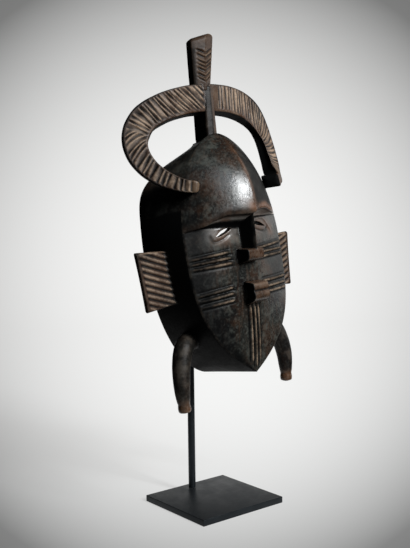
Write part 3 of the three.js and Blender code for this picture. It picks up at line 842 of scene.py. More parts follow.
def face_warmth(x, heights, s, on_cheek):
    """Where the patina of the face has worn to brown: a band over the brow's edge, a line down the forehead's
    ridge and a few rubbed patches."""
    brow = by_side(s, (0.28, 0.9)) * bell(heights - brow_edge(s), 2.2, 3.2)
    ridge = 0.55 * bell(x, 0.5, 2.8) * smoothstep(heights, 196, 185)
    return patches_of(RUBBED, x, heights, np.maximum(brow, ridge) * (1 - on_cheek))


def up_underside(s, heights):
    """How far a height lies from the foot of the brow's underside to the brow's edge, and the share of that which is
    painted as a shadowed corner."""
    foot, edge = brow_foot(s), brow_edge(s)
    return (heights - foot) / (edge - foot), by_side(s, SHADOWED_CORNER)


def face_shade(x, heights, s):
    """Painted shade: a shadow in the angle between the brow's underside and the cheeks, and darker places along the
    brow, towards the face's left edge, right of the forehead's ridge and on the right cheek."""
    foot, edge = brow_foot(s), brow_edge(s)
    up, corner = up_underside(s, heights)
    angle = (1 - smoothstep(up, corner - 0.1, corner + 0.05)) * smoothstep(heights, foot - 1.2, foot - 0.2)
    on_cheek = heights < foot
    forehead_left = 0.9 * smoothstep(-s, 0.6, 0.98) * (1 - 0.7 * smoothstep(heights, 150, 185))
    forehead_right = 0.85 * smoothstep(x, 1.0, 5) * between(heights, edge + 2, edge + 8, 180, 195)
    left = np.where(on_cheek, 0.97 * smoothstep(-s, 0.35, 0.85), forehead_left)
    right = np.where(on_cheek, 0.6 * smoothstep(s, 0.3, 0.7) * between(heights, 62, 80, 100, 112), forehead_right)
    brow = 0.55 * bell(heights - edge, 2.5, 4.5) * smoothstep(-s, -0.05, 0.1)
    return np.maximum.reduce([angle, left, right, brow])


def face_dullness(x, heights, s):
    """The cheeks, the brow, the face's left edge and the forehead's right side have little polish."""
    foot, edge = brow_foot(s), brow_edge(s)
    cheeks = 0.9 * (1 - smoothstep(heights, foot - 14, foot - 2)) * (1 - 0.4 * smoothstep(x, 5, 20))
    brow = 0.7 * bell(heights - edge, 2, 6)
    right = 0.9 * smoothstep(x, -0.5, 2.5) * smoothstep(heights, edge, edge + 4)
    left = smoothstep(-s, 0.4, 0.8) * (1 - smoothstep(heights, *ROOF))
    return np.maximum.reduce([cheeks, brow, right, left])


def face_painted_light(x, heights, s):
    """Painted light: bounce light on the brow's underside, outside its shadowed corner, and a sheen about the eyes."""
    foot = brow_foot(s)
    up, corner = up_underside(s, heights)
    under = by_side(s, (1.3, 1.6)) * between(up, corner - 0.05, corner + 0.1, 0.8, 1.0)
    eyes = 0.4 * between(heights, 106, 116, foot - 1.5, foot)
    return np.maximum(under, eyes * smoothstep(np.abs(x), 5, 9) * (1 - smoothstep(np.abs(s), 0.75, 0.95)))


def side_wall(edge, face_heights, side, shares, width_scale=1.0, height_scale=1.0):
    """A wall from an edge straight back to the rim, at the given shares of the way, bulging outwards in between."""
    half = FACE["height"] / 2
    rim_x, rim_h = rim_point(face_heights, side)
    rim = stacked(rim_x * width_scale, 0.0, half + (rim_h - half) * height_scale)
    wall = lerp(edge[:, None], rim[:, None], shares[None, :, None])
    bulge = RIM["bulge"] * clamped(rim_x / RIM["bulge_from"], -1, 1)
    wall[..., 0] += bulge[:, None] * np.sin(math.pi * shares)
    return wall


def hollow_front(s, height):
    """The hollow's front: the edge's line less the wall, with a rise behind the forehead that fades below."""
    fade = smoothstep(height, HOLLOW["fade_from"], HOLLOW["fade_to"])
    behind_forehead = forehead_rise(height, HOLLOW["forehead_rise"]) * fade
    rise = np.maximum(cheek_rise(height, HOLLOW["cheek_rise"]), behind_forehead)
    return edge_depth(height) - HOLLOW["wall"] + rise * dome_fall(s)


def eye_cutter(side):
    """A prism over the eye's lens-shaped outline, widened towards the hollow."""
    upper, lower = eye_curves(side)
    outline = np.vstack([upper, lower[-2:0:-1]])
    middle = (upper[0] + upper[-1]) / 2
    rows = []
    steps = ((EYE["cut_from"], EYE["widening"], 1), (EYE["straight_from"], 1, 0), (EYE["cut_to"], 1, 0))
    inwards = np.array(EYE["inner_shift"]) * (-side, 1)
    for depth, wider, shifted in steps:
        at = lerp(middle, outline, wider) + shifted * inwards
        rows.append(stacked(at[:, 0], depth, at[:, 1]))
    # Painted shade: the walls of the eye's opening are black
    return carved_form("eye", np.array(rows), shade=1.0)


def nose_mesh():
    """The nose: a wedge whose blunt edge lies on the middle line, carried from the brow down to the nostrils."""
    v = np.linspace(0, 1, 30)[:, None]
    height = lerp(NOSE["top"], NOSE["foot"], v)
    front = lerp(NOSE["top_depth"], NOSE["tip_depth"], v)
    half = lerp(NOSE["top_half_width"], NOSE["foot_half_width"], v)
    back = cheek_depth(0, height) - ROOT
    u = np.linspace(-1, 1, 25)[None, :]
    blunt = NOSE["blunt"]
    fall = np.sqrt(u * u + blunt * blunt) - blunt
    depth = front - (front - back) * fall / (math.sqrt(1 + blunt * blunt) - blunt)
    # Painted shade: black on the left side, a darker tone over the rest
    left = smoothstep(-u, 0.05, 0.25)
    return carved_form("nose", stacked(half * u, depth, height), shade=np.maximum(left, 0.75), dull=0.5)


def cross_block(name, shape):
    """A block across the middle line: its outline of depth and height, resampled and rounded at the corners, is
    carried from left to right and drawn in at both ends."""
    back = float(cheek_depth(0, shape["foot"])) - ROOT
    corners = np.array([(back, shape["foot"]), *shape["front"], (back, shape["top"])])
    outline = path_at(np.vstack([corners, corners[:1]]), np.linspace(0, 1, 61)[:-1])
    outline = softened(outline[None], 3)[0]
    middle = outline.mean(0)
    turn = np.linspace(0, math.pi / 2, 6)
    half = shape["half_width"]
    bend = half - BLOCK_ROUND * (1 - np.sin(turn))
    straight = np.linspace(-half + 1.5, half - 1.5, 16)
    x = np.concatenate([-bend[::-1], straight, bend])
    inset = 1 - BLOCK_ROUND * (1 - np.cos(turn)) / np.abs(middle - outline).max()
    scale = np.concatenate([inset[::-1], np.ones(len(straight)), inset])
    ring = middle + (outline - middle)[None] * scale[:, None, None]
    rings = stacked(x[:, None] + shape["centre"], ring[..., 0], ring[..., 1])
    # Painted shade: the block's ends are black
    ends = smoothstep(np.abs(x), half - 1.2, half - 0.4)[:, None]
    return carved_form(name, rings, shade=ends, dull=0.3, warm=0.35 * (1 - ends))


# Stem, crest and horns

def stem_mesh():
    """The stem: a narrow post with a low ridge down its front, carried from the forehead to the crest."""
    v = np.linspace(0, 1, 50)[:, None]
    height = lerp(STEM["foot"], STEM["top"], v)
    half = lerp(STEM["foot_half_width"], STEM["top_half_width"], v)
    front = lerp(STEM["foot_depth"], STEM["top_depth"], v)
    middle, last = 7, 14
    u = np.linspace(-1, 1, last + 1)[None, :]
    corner = front - STEM["ridge"]
    sides, rear = np.linspace(0, 1, 8)[None, 1:-1], np.linspace(0, 1, 9)[None, :]
    x, depth = around(
        half * u, front - STEM["ridge"] * np.abs(u), half, (half - 1, 1 - half), (corner, corner - STEM["thickness"]),
        sides, rear)
    rings = softened(stacked(x, depth, height), 1)
    column = np.arange(x.shape[1])[None, :]
    # Painted shade: black sides and back, a darker front
    black = np.where(column > last, 1.0, 0.65)
    warm = np.where((column > middle + 1) & (column <= last), 0.5, 0.0)
    return carved_form("stem", rings, matte=0.3, shade=black, dull=0.3, warm=warm)


def groove(phase, sharpness=1.5):
    """How deep a groove is at a phase that counts ridges: 0 on a broad round ridge and 1 in the sharp groove."""
    return (2 * np.abs(phase - np.floor(phase) - 0.5)) ** sharpness


def crest_mesh(depth_of_groove):
    """The crest: it widens upwards, its front is a low ridge, and its chevrons point down."""
    v = np.linspace(0, 1, 120)[:, None]
    end = CREST["rounded_end"]
    height = lerp(CREST["foot"], CREST["top"], v)
    inset = np.maximum(0, height - (CREST["top"] - end))
    narrowing = end - np.sqrt(np.maximum(end * end - inset * inset, 0))
    half = lerp(CREST["foot_half_width"], CREST["top_half_width"], v ** CREST["taper"]) - narrowing
    front = CREST["depth"] - narrowing / 2
    back = CREST["depth"] - CREST["ridge"] - CREST["thickness"] + narrowing / 2
    u = np.linspace(-1, 1, CREST_COLUMNS)[None, :]
    level = height - CREST["chevron_rise"] * np.abs(u) - CREST["chevron_from"]
    phase = hand_carved(level / CREST["pitch"], u)
    count = round((CREST["chevron_to"] - CREST["chevron_from"]) / CREST["pitch"])
    carved = between(phase, -0.6, -0.3, count - 0.7, count - 0.4) * between(u, -0.75, -0.4, 0.9, 1.0)
    cut = groove(phase) * carved
    face_depth = front - CREST["ridge"] * np.abs(u) - depth_of_groove * cut
    x, depth = around(
        half * u, face_depth, half, (half - 1.5, 1.5 - half), (front - CREST["ridge"], back),
        eased(7)[None, 1:-1], eased(11)[None, :])
    slanted = clamped((v - CREST["slant_from"]) / (1 - CREST["slant_from"]))
    slant = CREST["top_slant"] * slanted / CREST["top_half_width"]
    rings = stacked(x + CREST["foot_shift"] * (1 - v), depth, height + slant * (x - half))
    line = on_front((1 - groove(phase)) * carved, rings)
    near_top = smoothstep(height, CREST["top"] - 16, CREST["top"] - 10)
    warm = (0.35 + 0.15 * near_top) * np.ones(rings.shape[1])
    # Painted shade: its left side and its grooves, a darker tone all over, more at the top, and black sides and back
    shade = on_front(np.maximum(1 - smoothstep(u, -0.82, -0.5) + 0 * v, 0.7 * cut), rings, 1.0)
    shade = np.maximum(shade, 0.3 + 0.35 * near_top)
    return carved_form("crest", softened(rings, 1), matte=0.3, line=0.8 * line, warm=warm, shade=shade, dull=0.7)


def along_horn(values, t):
    """A value that goes from the horn's middle over its bend to its tip."""
    return np.interp(t, (0, HORN["bend_at"], 1), values)


def horn_path(side):
    path = []
    last = len(HORN["path"]) - 1
    spread, tip_spread, rise = (float(by_side(side, HORN[key])) for key in ("spread", "tip_spread", "shoulder_lift"))
    for i, (x, depth, height) in enumerate(HORN["path"]):
        lift = rise * math.sin(math.pi * i / last)
        path.append((side * x * lerp(spread, tip_spread, i / last), depth, height + lift))
    return smooth_path(path)


def horn_frame(path, side, t):
    """The horn's centre and its outward and forward directions at each t."""
    centre, along = path_at(path, t), path_direction(path, t)
    turn = by_side(side, HORN["outward_turn"]) * np.minimum(1, t / HORN["turned_by"])
    to_tip = smoothstep(t, HORN["tip_turn_from"], HORN["tip_turn_by"])
    turn = np.radians(lerp(turn, by_side(side, HORN["tip_turn"]), to_tip))
    front = np.stack([side * np.sin(turn), np.cos(turn), np.zeros_like(turn)], -1)
    front = unit(front - along * np.sum(front * along, -1, keepdims=True))
    outer = unit(np.cross(front, along))
    from_centre = centre - (0, 0, FACE["height"])
    outer *= np.sign(np.sum(outer * from_centre, -1, keepdims=True))
    return centre, outer, front


def hand_carved(phase, wander):
    """Evenly counted ridges moved a little to and fro, as a hand spaces them."""
    return phase + 0.16 * np.sin(1.9 * phase) + 0.1 * np.sin(4.7 * phase + wander)


def horn_ridges(side, length, a, v, x):
    """How deep the ridges' grooves are at a along and v across the horn's front, in millimetres. On the left they
    slant away from the centre, turn square at the bend and slant again past a break. On the right they
    are upright, cross at the bend, slant, and end before the tip. Each groove holds a finer ridge."""
    ridges = HORN_RIDGES[side]

    def slanted(key):
        start, end, *span = ridges[key]
        return a - lerp(start, end, smoothstep(a, *span)) * v

    if side < 0:
        first = slanted("slant") / ridges["pitch"]
        first = first + ridges["closer_by"] * np.maximum(0, slanted("slant") - ridges["closer_from"])
    else:
        first = x / ridges["pitch"]
    second = (slanted("far_slant") - ridges["break"]) / ridges["far_pitch"]
    before = a < ridges["break"] + ridges["break_slant"] * v
    phase = hand_carved(np.where(before, first, second), by_side(side, (0.25, 0.15)) * v)
    ends = [at + length * (at < 0) for at in ridges["ends"]]
    carved = between(a, *ridges["begins"], *ends)
    uneven = 0.82 + 0.18 * np.sin(2.6 * phase + 0.3 * v)
    return uneven * (0.85 * groove(phase) + 0.15 * groove(2 * phase + 0.5)), carved


def horn_mesh(side, depth_of_groove):
    """A horn: a flat band carried along its path from the middle of the top, over the bend, to the tip before
    the forehead. Its front is cut with grooves inside two plain borders, and its back is broader."""
    path = horn_path(side)
    length = step_lengths(path).sum()
    t = np.linspace(0, 1, HORN_ROWS)
    centre, outer, front = horn_frame(path, side, t)
    knob = by_side(side, HORN["knob"]) * smoothstep(t, HORN["knob_from"] - 0.008, HORN["knob_from"] + 0.008)
    width = along_horn(HORN["width"], t) + knob
    thick = along_horn(HORN["thickness"], t) + knob
    broader = along_horn(HORN["back_broader"], t)
    half, thick, broader = (value[:, None] / divisor for value, divisor in ((width, 2), (thick, 1), (broader, 1)))
    f = np.linspace(-1, 1, HORN_COLUMNS)[None, :]
    extra = by_side(side, HORN["front_broader"]) * between(t, 0.25, 0.45, 0.85, 0.97)
    across, back = around(
        half * f - extra[:, None] * (1 - f) / 2, 0.5 * np.abs(f) ** 8 + 0 * half, half,
        (half - 1, -half - broader), (0.5, thick), eased(7)[None, 1:-1], eased(11)[None, :])
    profile = softened(stacked(across, back), 1)
    end = np.sqrt(1 - 0.75 * clamped((t - HORN["end_from"]) / (1 - HORN["end_from"])) ** 2)[:, None, None]
    middle = profile.mean(1, keepdims=True)
    profile = middle + (profile - middle) * end
    across, back = np.moveaxis(profile, -1, 0)
    point = centre[:, None] + across[..., None] * outer[:, None]
    a, v = t[:, None] * length, across[:, :HORN_COLUMNS]
    cut, carved = horn_ridges(side, length, a, v, point[:, :HORN_COLUMNS, 0])
    border = lerp(0.8, 0.68, smoothstep(t, 0.2, 0.5))[:, None]
    carved = carved * between(f, -1.0, -0.7, border, border + 0.25)
    back[:, :HORN_COLUMNS] += depth_of_groove * cut * carved
    rings = centre[:, None] + across[..., None] * outer[:, None] - back[..., None] * front[:, None]
    line = on_front((1 - cut) * carved, rings)
    # Painted shade: the plain outer border, the grooves, the sides and the back are darker, and the front is darker in
    # places along the horn
    strip = smoothstep(f, border + 0.05, border + 0.2)
    darkening = np.interp(t, *HORN_DARKENING[side])[:, None]
    shade = on_front(np.maximum(strip, clamped(darkening + cut * carved)), rings, 1.0)
    # Painted shade over the right horn's end
    if side > 0:
        shade = np.maximum(shade, smoothstep(t, HORN["end_from"], 0.988)[:, None])
    warm = on_front(patches_of(HORN_RUBBED[side], a, v, np.zeros(v.shape)), rings)
    return carved_form("horn", rings, matte=1.0, line=line, shade=shade, warm=warm)


# Ears and legs

def ear_mesh(side, depth_of_groove):
    """An ear: a thin plate that stands out sideways, with slanting ridges that come down towards the face. Each
    ring goes over the front from the inner to the outer edge and back over the rear."""
    v = np.linspace(0, 1, 90)[:, None]
    u = np.linspace(0, 1, EAR_COLUMNS)[None, :]
    tall = EAR["top"] - EAR["foot"]

    def plate(u):
        inner = lerp(EAR["inner_foot"], EAR["inner_top"], v)
        outer = lerp(by_side(side, EAR["outer_foot"]), EAR["outer_top"], v) - EAR["edge_scoop"] * np.sin(math.pi * v)
        foot = EAR["foot"] + EAR["inner_foot_lift"] * (1 - u)
        top = EAR["top"] - EAR["inner_top_drop"] * (1 - u)
        return lerp(inner, outer, u), lerp(foot, top, v)

    def middle_depth(height):
        return lerp(EAR["foot_depth"], EAR["top_depth"], (height - EAR["foot"]) / tall)

    x, height = plate(u)
    front = middle_depth(height) + EAR["inner_forward"] * (1 - u)
    phase = (height - EAR["slope"] * (u - 0.5) - EAR["foot"]) / (tall / EAR["ridges"])
    border = smoothstep(u, EAR["border_from"], EAR["border_from"] + 0.04)
    carved = (1 - border) * between(v, 0.0, 0.03, 0.96, 0.98)
    cut = groove(phase)
    front = front - depth_of_groove * cut * carved
    turn = 1.0
    for from_end in (v, 1 - v):
        turn = turn * np.sin(clamped(from_end * tall / EAR["corner"]) * math.pi / 2)
    rear_u = np.linspace(1, 0, 14)[None, :]
    rear_x, rear_height = plate(rear_u)
    rear = middle_depth(rear_height) - EAR["thickness"]
    x, height, depth = np.hstack([x, rear_x]), np.hstack([height, rear_height]), np.hstack([front, rear])
    middle = middle_depth(height) - EAR["thickness"] / 2
    depth = lerp(middle, depth, 0.35 + 0.65 * turn)
    rings = softened(stacked(side * x, depth, height), 1)
    # Painted highlight: a light line along the front's top edge
    painted_top_highlight = smoothstep(v, 0.955, 0.975) * (1 - border)
    line = on_front(np.maximum((1 - cut) * carved, painted_top_highlight), rings)
    # Painted shade: the dark outer edge, the grooves, a darker front, and black sides and back
    outer_edge = 0.8 * smoothstep(u, EAR["border_from"], 0.95)
    shade = on_front(np.maximum(outer_edge, 0.4 + 0.4 * cut * carved), rings, 1.0)
    return carved_form("ear", rings, matte=1.0, line=line, shade=shade)


def leg_mesh(side):
    """A leg: a round limb that comes out of the lower wall, bends down and ends in a small knob."""
    path = smooth_path([(side * x, depth, height) for x, depth, height in LEG["path"]])
    t = np.linspace(0, 1, 70)
    centre, along = path_at(path, t), path_direction(path, t)
    front = unit(np.array([0.0, 1.0, 0.0]) - along * along[:, 1:2])
    radius = np.interp(t, LEG["stations"], LEG["radii"])
    tip = clamped((t - 0.985) / 0.015)
    radius = radius * np.sqrt(1 - 0.8 * tip ** 2)
    rings = tube(centre, radius, front, np.cross(along, front), 30)
    warm = smoothstep(t, 0.8, 0.92)[:, None]
    return carved_form("leg", rings, matte=0.1, shade=0.75 * (1 - warm), warm=0.7 * warm)


# Over how many neighbours a vertex's surroundings reach where its wear is measured
WEAR_REACH = 5
# Over how many neighbours the easing of a seam reaches, what each step keeps of it, and how often it is done
SEAM = {"reach": 3, "kept": 0.75, "passes": 4}
# Angles between faces, in degrees, from which an edge is shaded sharp
SHARP = {"wood": 55, "rod": 50, "plate": 35}


def finished(mesh, name):
    """The carved body as triangles, with its seams eased into fillets and its wear measured.

    Seam vertices are those that no part brought along. Their neighbourhood is averaged a few times. Wear is how
    far a vertex stands out from its surroundings' average along its normal, in millimetres."""
    mesh.calc_loop_triangles()
    triangles = read(mesh.loop_triangles, "vertices", 3, np.int32)
    points, edges = read(mesh.vertices, "co", 3).astype(float), read(mesh.edges, "vertices", 2, np.int32)
    carried = {key: read(mesh.attributes[key].data, "value").astype(float) for key in BARE}
    kept = (carried.pop("kept") > 0.99).astype(float)
    values = np.stack(list(carried.values()), -1)
    known = kept.copy()
    for _ in range(SEAM["reach"]):
        filled = neighbour_mean(edges, values, known)
        values = np.where(known[:, None] > 0, values, filled)
        known = np.maximum(known, (neighbour_mean(edges, known) > 0).astype(float))
    near = 1 - kept
    for _ in range(SEAM["reach"]):
        near = np.maximum(near, SEAM["kept"] * neighbour_mean(edges, near))
    near = clamped(near * 1.5)[:, None]
    for _ in range(SEAM["passes"]):
        points = lerp(points, neighbour_mean(edges, points), 0.5 * near)
    smooth = points
    for _ in range(WEAR_REACH):
        smooth = neighbour_mean(edges, smooth)
    worn = np.sum((points - smooth) * vertex_normals(points, triangles), 1) / MM
    result = triangle_mesh(name, points, triangles)
    for key, column in zip(carried, values.T):
        put_attribute(result, key, column)
    put_attribute(result, "worn", worn)
    result.set_sharp_from_angle(angle=math.radians(SHARP["wood"]))
    return result


# Materials

class Paint:
    """The nodes of one material: each method adds a node and returns the socket that it ends in."""

    def __init__(self, name):
        self.material = bpy.data.materials.new(name)
        self.material.use_nodes = True
        self.tree = self.material.node_tree
        self.tree.nodes.clear()

    def node(self, kind, inputs=None, **settings):
        """A node with its settings, whose inputs are values or the sockets that feed them."""
        made = self.tree.nodes.new(kind)
        for key, value in settings.items():
            setattr(made, key, value)
        for key, value in (inputs or {}).items():
            if isinstance(value, bpy.types.NodeSocket):
                self.tree.links.new(value, made.inputs[key])
            else:
                made.inputs[key].default_value = value
        return made

    def noise(self, scale, detail, roughness, stretch=(1, 1, 1)):
        """Noise over the piece, stretched along its axes, from 0 to 1."""
        place = self.node("ShaderNodeTexCoord").outputs["Object"]
        mapped = self.node("ShaderNodeMapping", {"Vector": place, "Scale": stretch}).outputs["Vector"]
        inputs = {"Vector": mapped, "Scale": scale, "Detail": detail, "Roughness": roughness}
        return self.node("ShaderNodeTexNoise", inputs).outputs["Fac"]

    def carried(self, name):
        """A value that the surface carries at its points."""
        return self.node("ShaderNodeAttribute", attribute_name=name).outputs["Fac"]

    def ramp(self, value, low, high, to_low=0.0, to_high=1.0):
        """The value mapped from low..high to to_low..to_high, smoothly and clamped."""
        inputs = {"Value": value, "From Min": low, "From Max": high, "To Min": to_low, "To Max": to_high}
        return self.node("ShaderNodeMapRange", inputs, interpolation_type="SMOOTHSTEP").outputs["Result"]

    def maths(self, operation, a, b, clamp=False):
        return self.node("ShaderNodeMath", {0: a, 1: b}, operation=operation, use_clamp=clamp).outputs[0]

    def times(self, a, b, clamp=False):
        return self.maths("MULTIPLY", a, b, clamp)

    def most(self, a, b):
        return self.maths("MAXIMUM", a, b)

    def total(self, *terms, clamp=False):
        """The sum of the terms, kept between 0 and 1 where it is clamped."""
        whole = terms[0]
        for number, term in enumerate(terms[1:], 2):
            whole = self.maths("ADD", whole, term, clamp and number == len(terms))
        return whole

    def mix(self, share, below, above):
        """One colour with a share of another over it."""
        return self.node("ShaderNodeMix", {0: share, 6: below, 7: above}, data_type="RGBA").outputs[2]

    def bump(self, height, strength, distance):
        inputs = {"Height": height, "Strength": strength, "Distance": distance}
        return self.node("ShaderNodeBump", inputs).outputs["Normal"]

    def finish(self, inputs):
        """The finished material, with these inputs on its shader."""
        shader = self.node("ShaderNodeBsdfPrincipled", inputs)
        self.node("ShaderNodeOutputMaterial", {"Surface": shader.outputs["BSDF"]})
        return self.material


def rgba(colour, scale=1.0):
    return (*(scale * part for part in colour), 1)


def wood_material(look):
    """Dark wood under an old polished patina: near black with olive grey clouds, brown where it is rubbed thin and
    lighter on the sharp tops of the carved ridges, with a faint grain along the height and fine specks. Painted shade
    blackens the unlit sides, corners and grooves, and painted light makes the brow's underside and the eyes paler."""
    paint = Paint("patinated_wood")
    ramp, times, mix = paint.ramp, paint.times, paint.mix
    clouds, patches = paint.noise(26, 5, 0.6), paint.noise(95, 6, 0.62)
    fine, reds = paint.noise(460, 4, 0.6), paint.noise(34, 5, 0.65)
    grain = paint.noise(60, 6, 0.6, (6, 6, 0.9))
    carried = ("worn", "matte", "inside", "line", "shade", "dull", "warm", "pale")
    worn, matte, inside, line, shade, dull, warm, pale = map(paint.carried, carried)

    # Painted light: where the pale value is carried, pale bounce light on the brow's underside, strongest where pale
    # passes 1, and a sheen about the eyes, mottled with the wood's own reddish brown
    painted_lit = times(pale, ramp(patches, 0.3, 0.6, 0.6, 1.0), True)
    not_painted_lit = paint.maths("SUBTRACT", 1.0, painted_lit)
    painted_light = mix(ramp(pale, 1.0, 1.6), rgba(look.painted_light), rgba(look.painted_light, 7.0))
    rubbed = times(warm, ramp(patches, 0.3, 0.62, 0.35, 1.0), True)
    tops = times(ramp(line, 0.45, 1.0), ramp(patches, 0.35, 0.6, 0.3, 1.0))
    tops = times(tops, ramp(fine, 0.35, 0.6, 0.45, 1.0))
    sharp = times(ramp(worn, 0.15, 0.5, 0.0, 0.25), ramp(patches, 0.4, 0.65))
    tops = paint.total(tops, sharp, clamp=True)
    # Painted shade: black where the shade value is full, on unlit sides, ends and corners, and a darker tone where it
    # is partial, held back where the patina is rubbed brown
    unworn = ramp(warm, 0.2, 0.9, 1.0, 0.15)
    black = times(ramp(shade, 0.97, 1.0), unworn)
    painted_shade = paint.most(times(times(shade, unworn), ramp(patches, 0.42, 0.62, 1.0, 0.85)), black)
    raw = mix(ramp(grain, 0.35, 0.7), (0.03, 0.021, 0.014, 1), (0.08, 0.056, 0.037, 1))
    # How much of each layer shows and its colour, from the lowest up
    layers = (
        (ramp(clouds, 0.36, 0.66), rgba(look.olive)),
        (ramp(patches, 0.5, 0.64, 0.0, 0.85), rgba(look.olive, 2.2)),
        (ramp(reds, 0.5, 0.7, 0.0, 0.5), rgba(look.brown, 0.4)),
        (ramp(fine, 0.52, 0.68, 0.0, 0.6), rgba(look.olive, 2.4)),
        (ramp(fine, 0.48, 0.34, 0.0, 0.6), rgba(look.patina, 0.6)),
        (painted_lit, painted_light),
        (times(painted_lit, ramp(reds, 0.42, 0.6, 0.0, 0.7)), rgba(look.brown, 1.3)),
        (ramp(grain, 0.45, 0.75, 0.0, 0.25), rgba(look.brown, 0.6)),
        (times(matte, ramp(clouds, 0.35, 0.6, 0.2, 0.8)), rgba(look.brown, 0.6)),
        (rubbed, mix(matte, rgba(look.brown), rgba(look.ochre))),
        (times(tops, 0.85), mix(matte, rgba(look.tan, 1.1), rgba(look.tan, 1.8))),
        (times(ramp(worn, -0.03, -0.22, 0.0, 0.85), not_painted_lit), rgba(look.patina, 0.4)),
        (painted_shade, rgba(look.patina, 0.35)),
        (inside, raw),
    )
    colour = rgba(look.patina)
    for share, above in layers:
        colour = mix(share, colour, above)

    rough = paint.total(
        ramp(fine, 0.3, 0.7, look.gloss - 0.04, look.gloss + 0.06), ramp(patches, 0.45, 0.65, 0.0, 0.06),
        times(matte, 0.12), times(tops, 0.22), times(pale, 0.15), times(shade, 0.25), times(inside, 0.3), clamp=True)
    height = paint.total(times(grain, 0.25), times(patches, 0.55), times(fine, 0.24))
    dull_lines = times(ramp(line, 0.05, 0.5, 0.0, 0.75), paint.maths("SUBTRACT", 1.0, matte))
    specks = times(ramp(fine, 0.45, 0.62, 1.0, 0.86), ramp(patches, 0.4, 0.62, 1.0, 0.9))
    # The painted shade also takes the polish's reflections off those places
    dulled = paint.total(paint.most(painted_shade, dull), dull_lines, clamp=True)
    dulled = paint.most(times(dulled, specks), black)
    return paint.finish({
        "Base Color": colour, "Roughness": rough, "Specular IOR Level": ramp(dulled, 0, 1, 0.5, 0.05),
        "Normal": paint.bump(height, 0.45, 0.0008),
    })


def steel_material(look, shine):
    """Blackened steel with a satin, faintly mottled finish."""
    paint = Paint("blackened_steel")
    mottle, fine = paint.noise(90, 5, 0.6), paint.noise(1400, 3, 0.6)
    return paint.finish({
        "Base Color": paint.mix(paint.ramp(mottle, 0.35, 0.7), rgba(look.steel), rgba(look.steel, 1.5)),
        "Roughness": paint.ramp(mottle, 0.3, 0.7, look.steel_gloss - 0.04, look.steel_gloss + 0.06),
        "Specular IOR Level": shine, "Specular Tint": (0.8, 0.92, 1.0, 1),
        "Normal": paint.bump(fine, 0.12, 0.0002),
    })


def finish_piece(piece, material, node):
    """Gives a piece its material, hangs it on the root and hides the part of the frame that it stands for."""
    piece.data.materials.clear()
    piece.data.materials.append(material)
    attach(piece, "root")
    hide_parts(node)


def steel_piece(name, rings, sharp, look, shine, node):
    """A piece of the stand from its rings in millimetres."""
    mesh = grid_mesh(name, rings * MM)
    mesh.set_sharp_from_angle(angle=math.radians(sharp))
    finish_piece(put_in_scene(name, mesh), steel_material(look, shine), node)


# Settings that a user would change

class MaskLook(bpy.types.PropertyGroup):
    """Carving and colours of the mask and its stand."""

    horn_groove: bpy.props.FloatProperty(
        name="Horn grooves", description="Depth of the grooves on the horns and the crest",
        default=0.0012, min=0.0, max=0.003, subtype="DISTANCE", unit="LENGTH", precision=4)
    ear_groove: bpy.props.FloatProperty(
        name="Ear grooves", description="Depth of the grooves on the ears",
        default=0.0014, min=0.0, max=0.003, subtype="DISTANCE", unit="LENGTH", precision=4)
    patina: bpy.props.FloatVectorProperty(
        name="Patina", description="Colour of the nearly black patina",
        default=(0.005, 0.0054, 0.0056), min=0.0, max=1.0, size=3, subtype="COLOR")
    olive: bpy.props.FloatVectorProperty(
        name="Olive", description="Colour of the patina's lighter clouds",
        default=(0.0215, 0.0225, 0.0195), min=0.0, max=1.0, size=3, subtype="COLOR")
    # Painted light: the colour of the bounce light on the brow's underside and of the sheen about the eyes
    painted_light: bpy.props.FloatVectorProperty(
        name="Painted light", description="Colour of the wood about the eyes",
        default=(0.095, 0.09, 0.082), min=0.0, max=1.0, size=3, subtype="COLOR")
    brown: bpy.props.FloatVectorProperty(
        name="Brown", description="Colour of the wood where its patina is rubbed thin",
        default=(0.12, 0.052, 0.024), min=0.0, max=1.0, size=3, subtype="COLOR")
    ochre: bpy.props.FloatVectorProperty(
        name="Ochre", description="Colour of the rubbed places on the horns",
        default=(0.12, 0.075, 0.04), min=0.0, max=1.0, size=3, subtype="COLOR")
    tan: bpy.props.FloatVectorProperty(
        name="Tan", description="Colour of the ridges' tops",
        default=(0.2, 0.142, 0.098), min=0.0, max=1.0, size=3, subtype="COLOR")
    gloss: bpy.props.FloatProperty(
        name="Polish roughness", description="Roughness of the polished wood",
        default=0.26, min=0.05, max=1.0, subtype="FACTOR")
    steel: bpy.props.FloatVectorProperty(
        name="Steel", description="Colour of the blackened steel",
        default=(0.006, 0.007, 0.008), min=0.0, max=1.0, size=3, subtype="COLOR")
    steel_gloss: bpy.props.FloatProperty(
        name="Steel roughness", description="Roughness of the steel's satin finish",
        default=0.4, min=0.05, max=1.0, subtype="FACTOR")


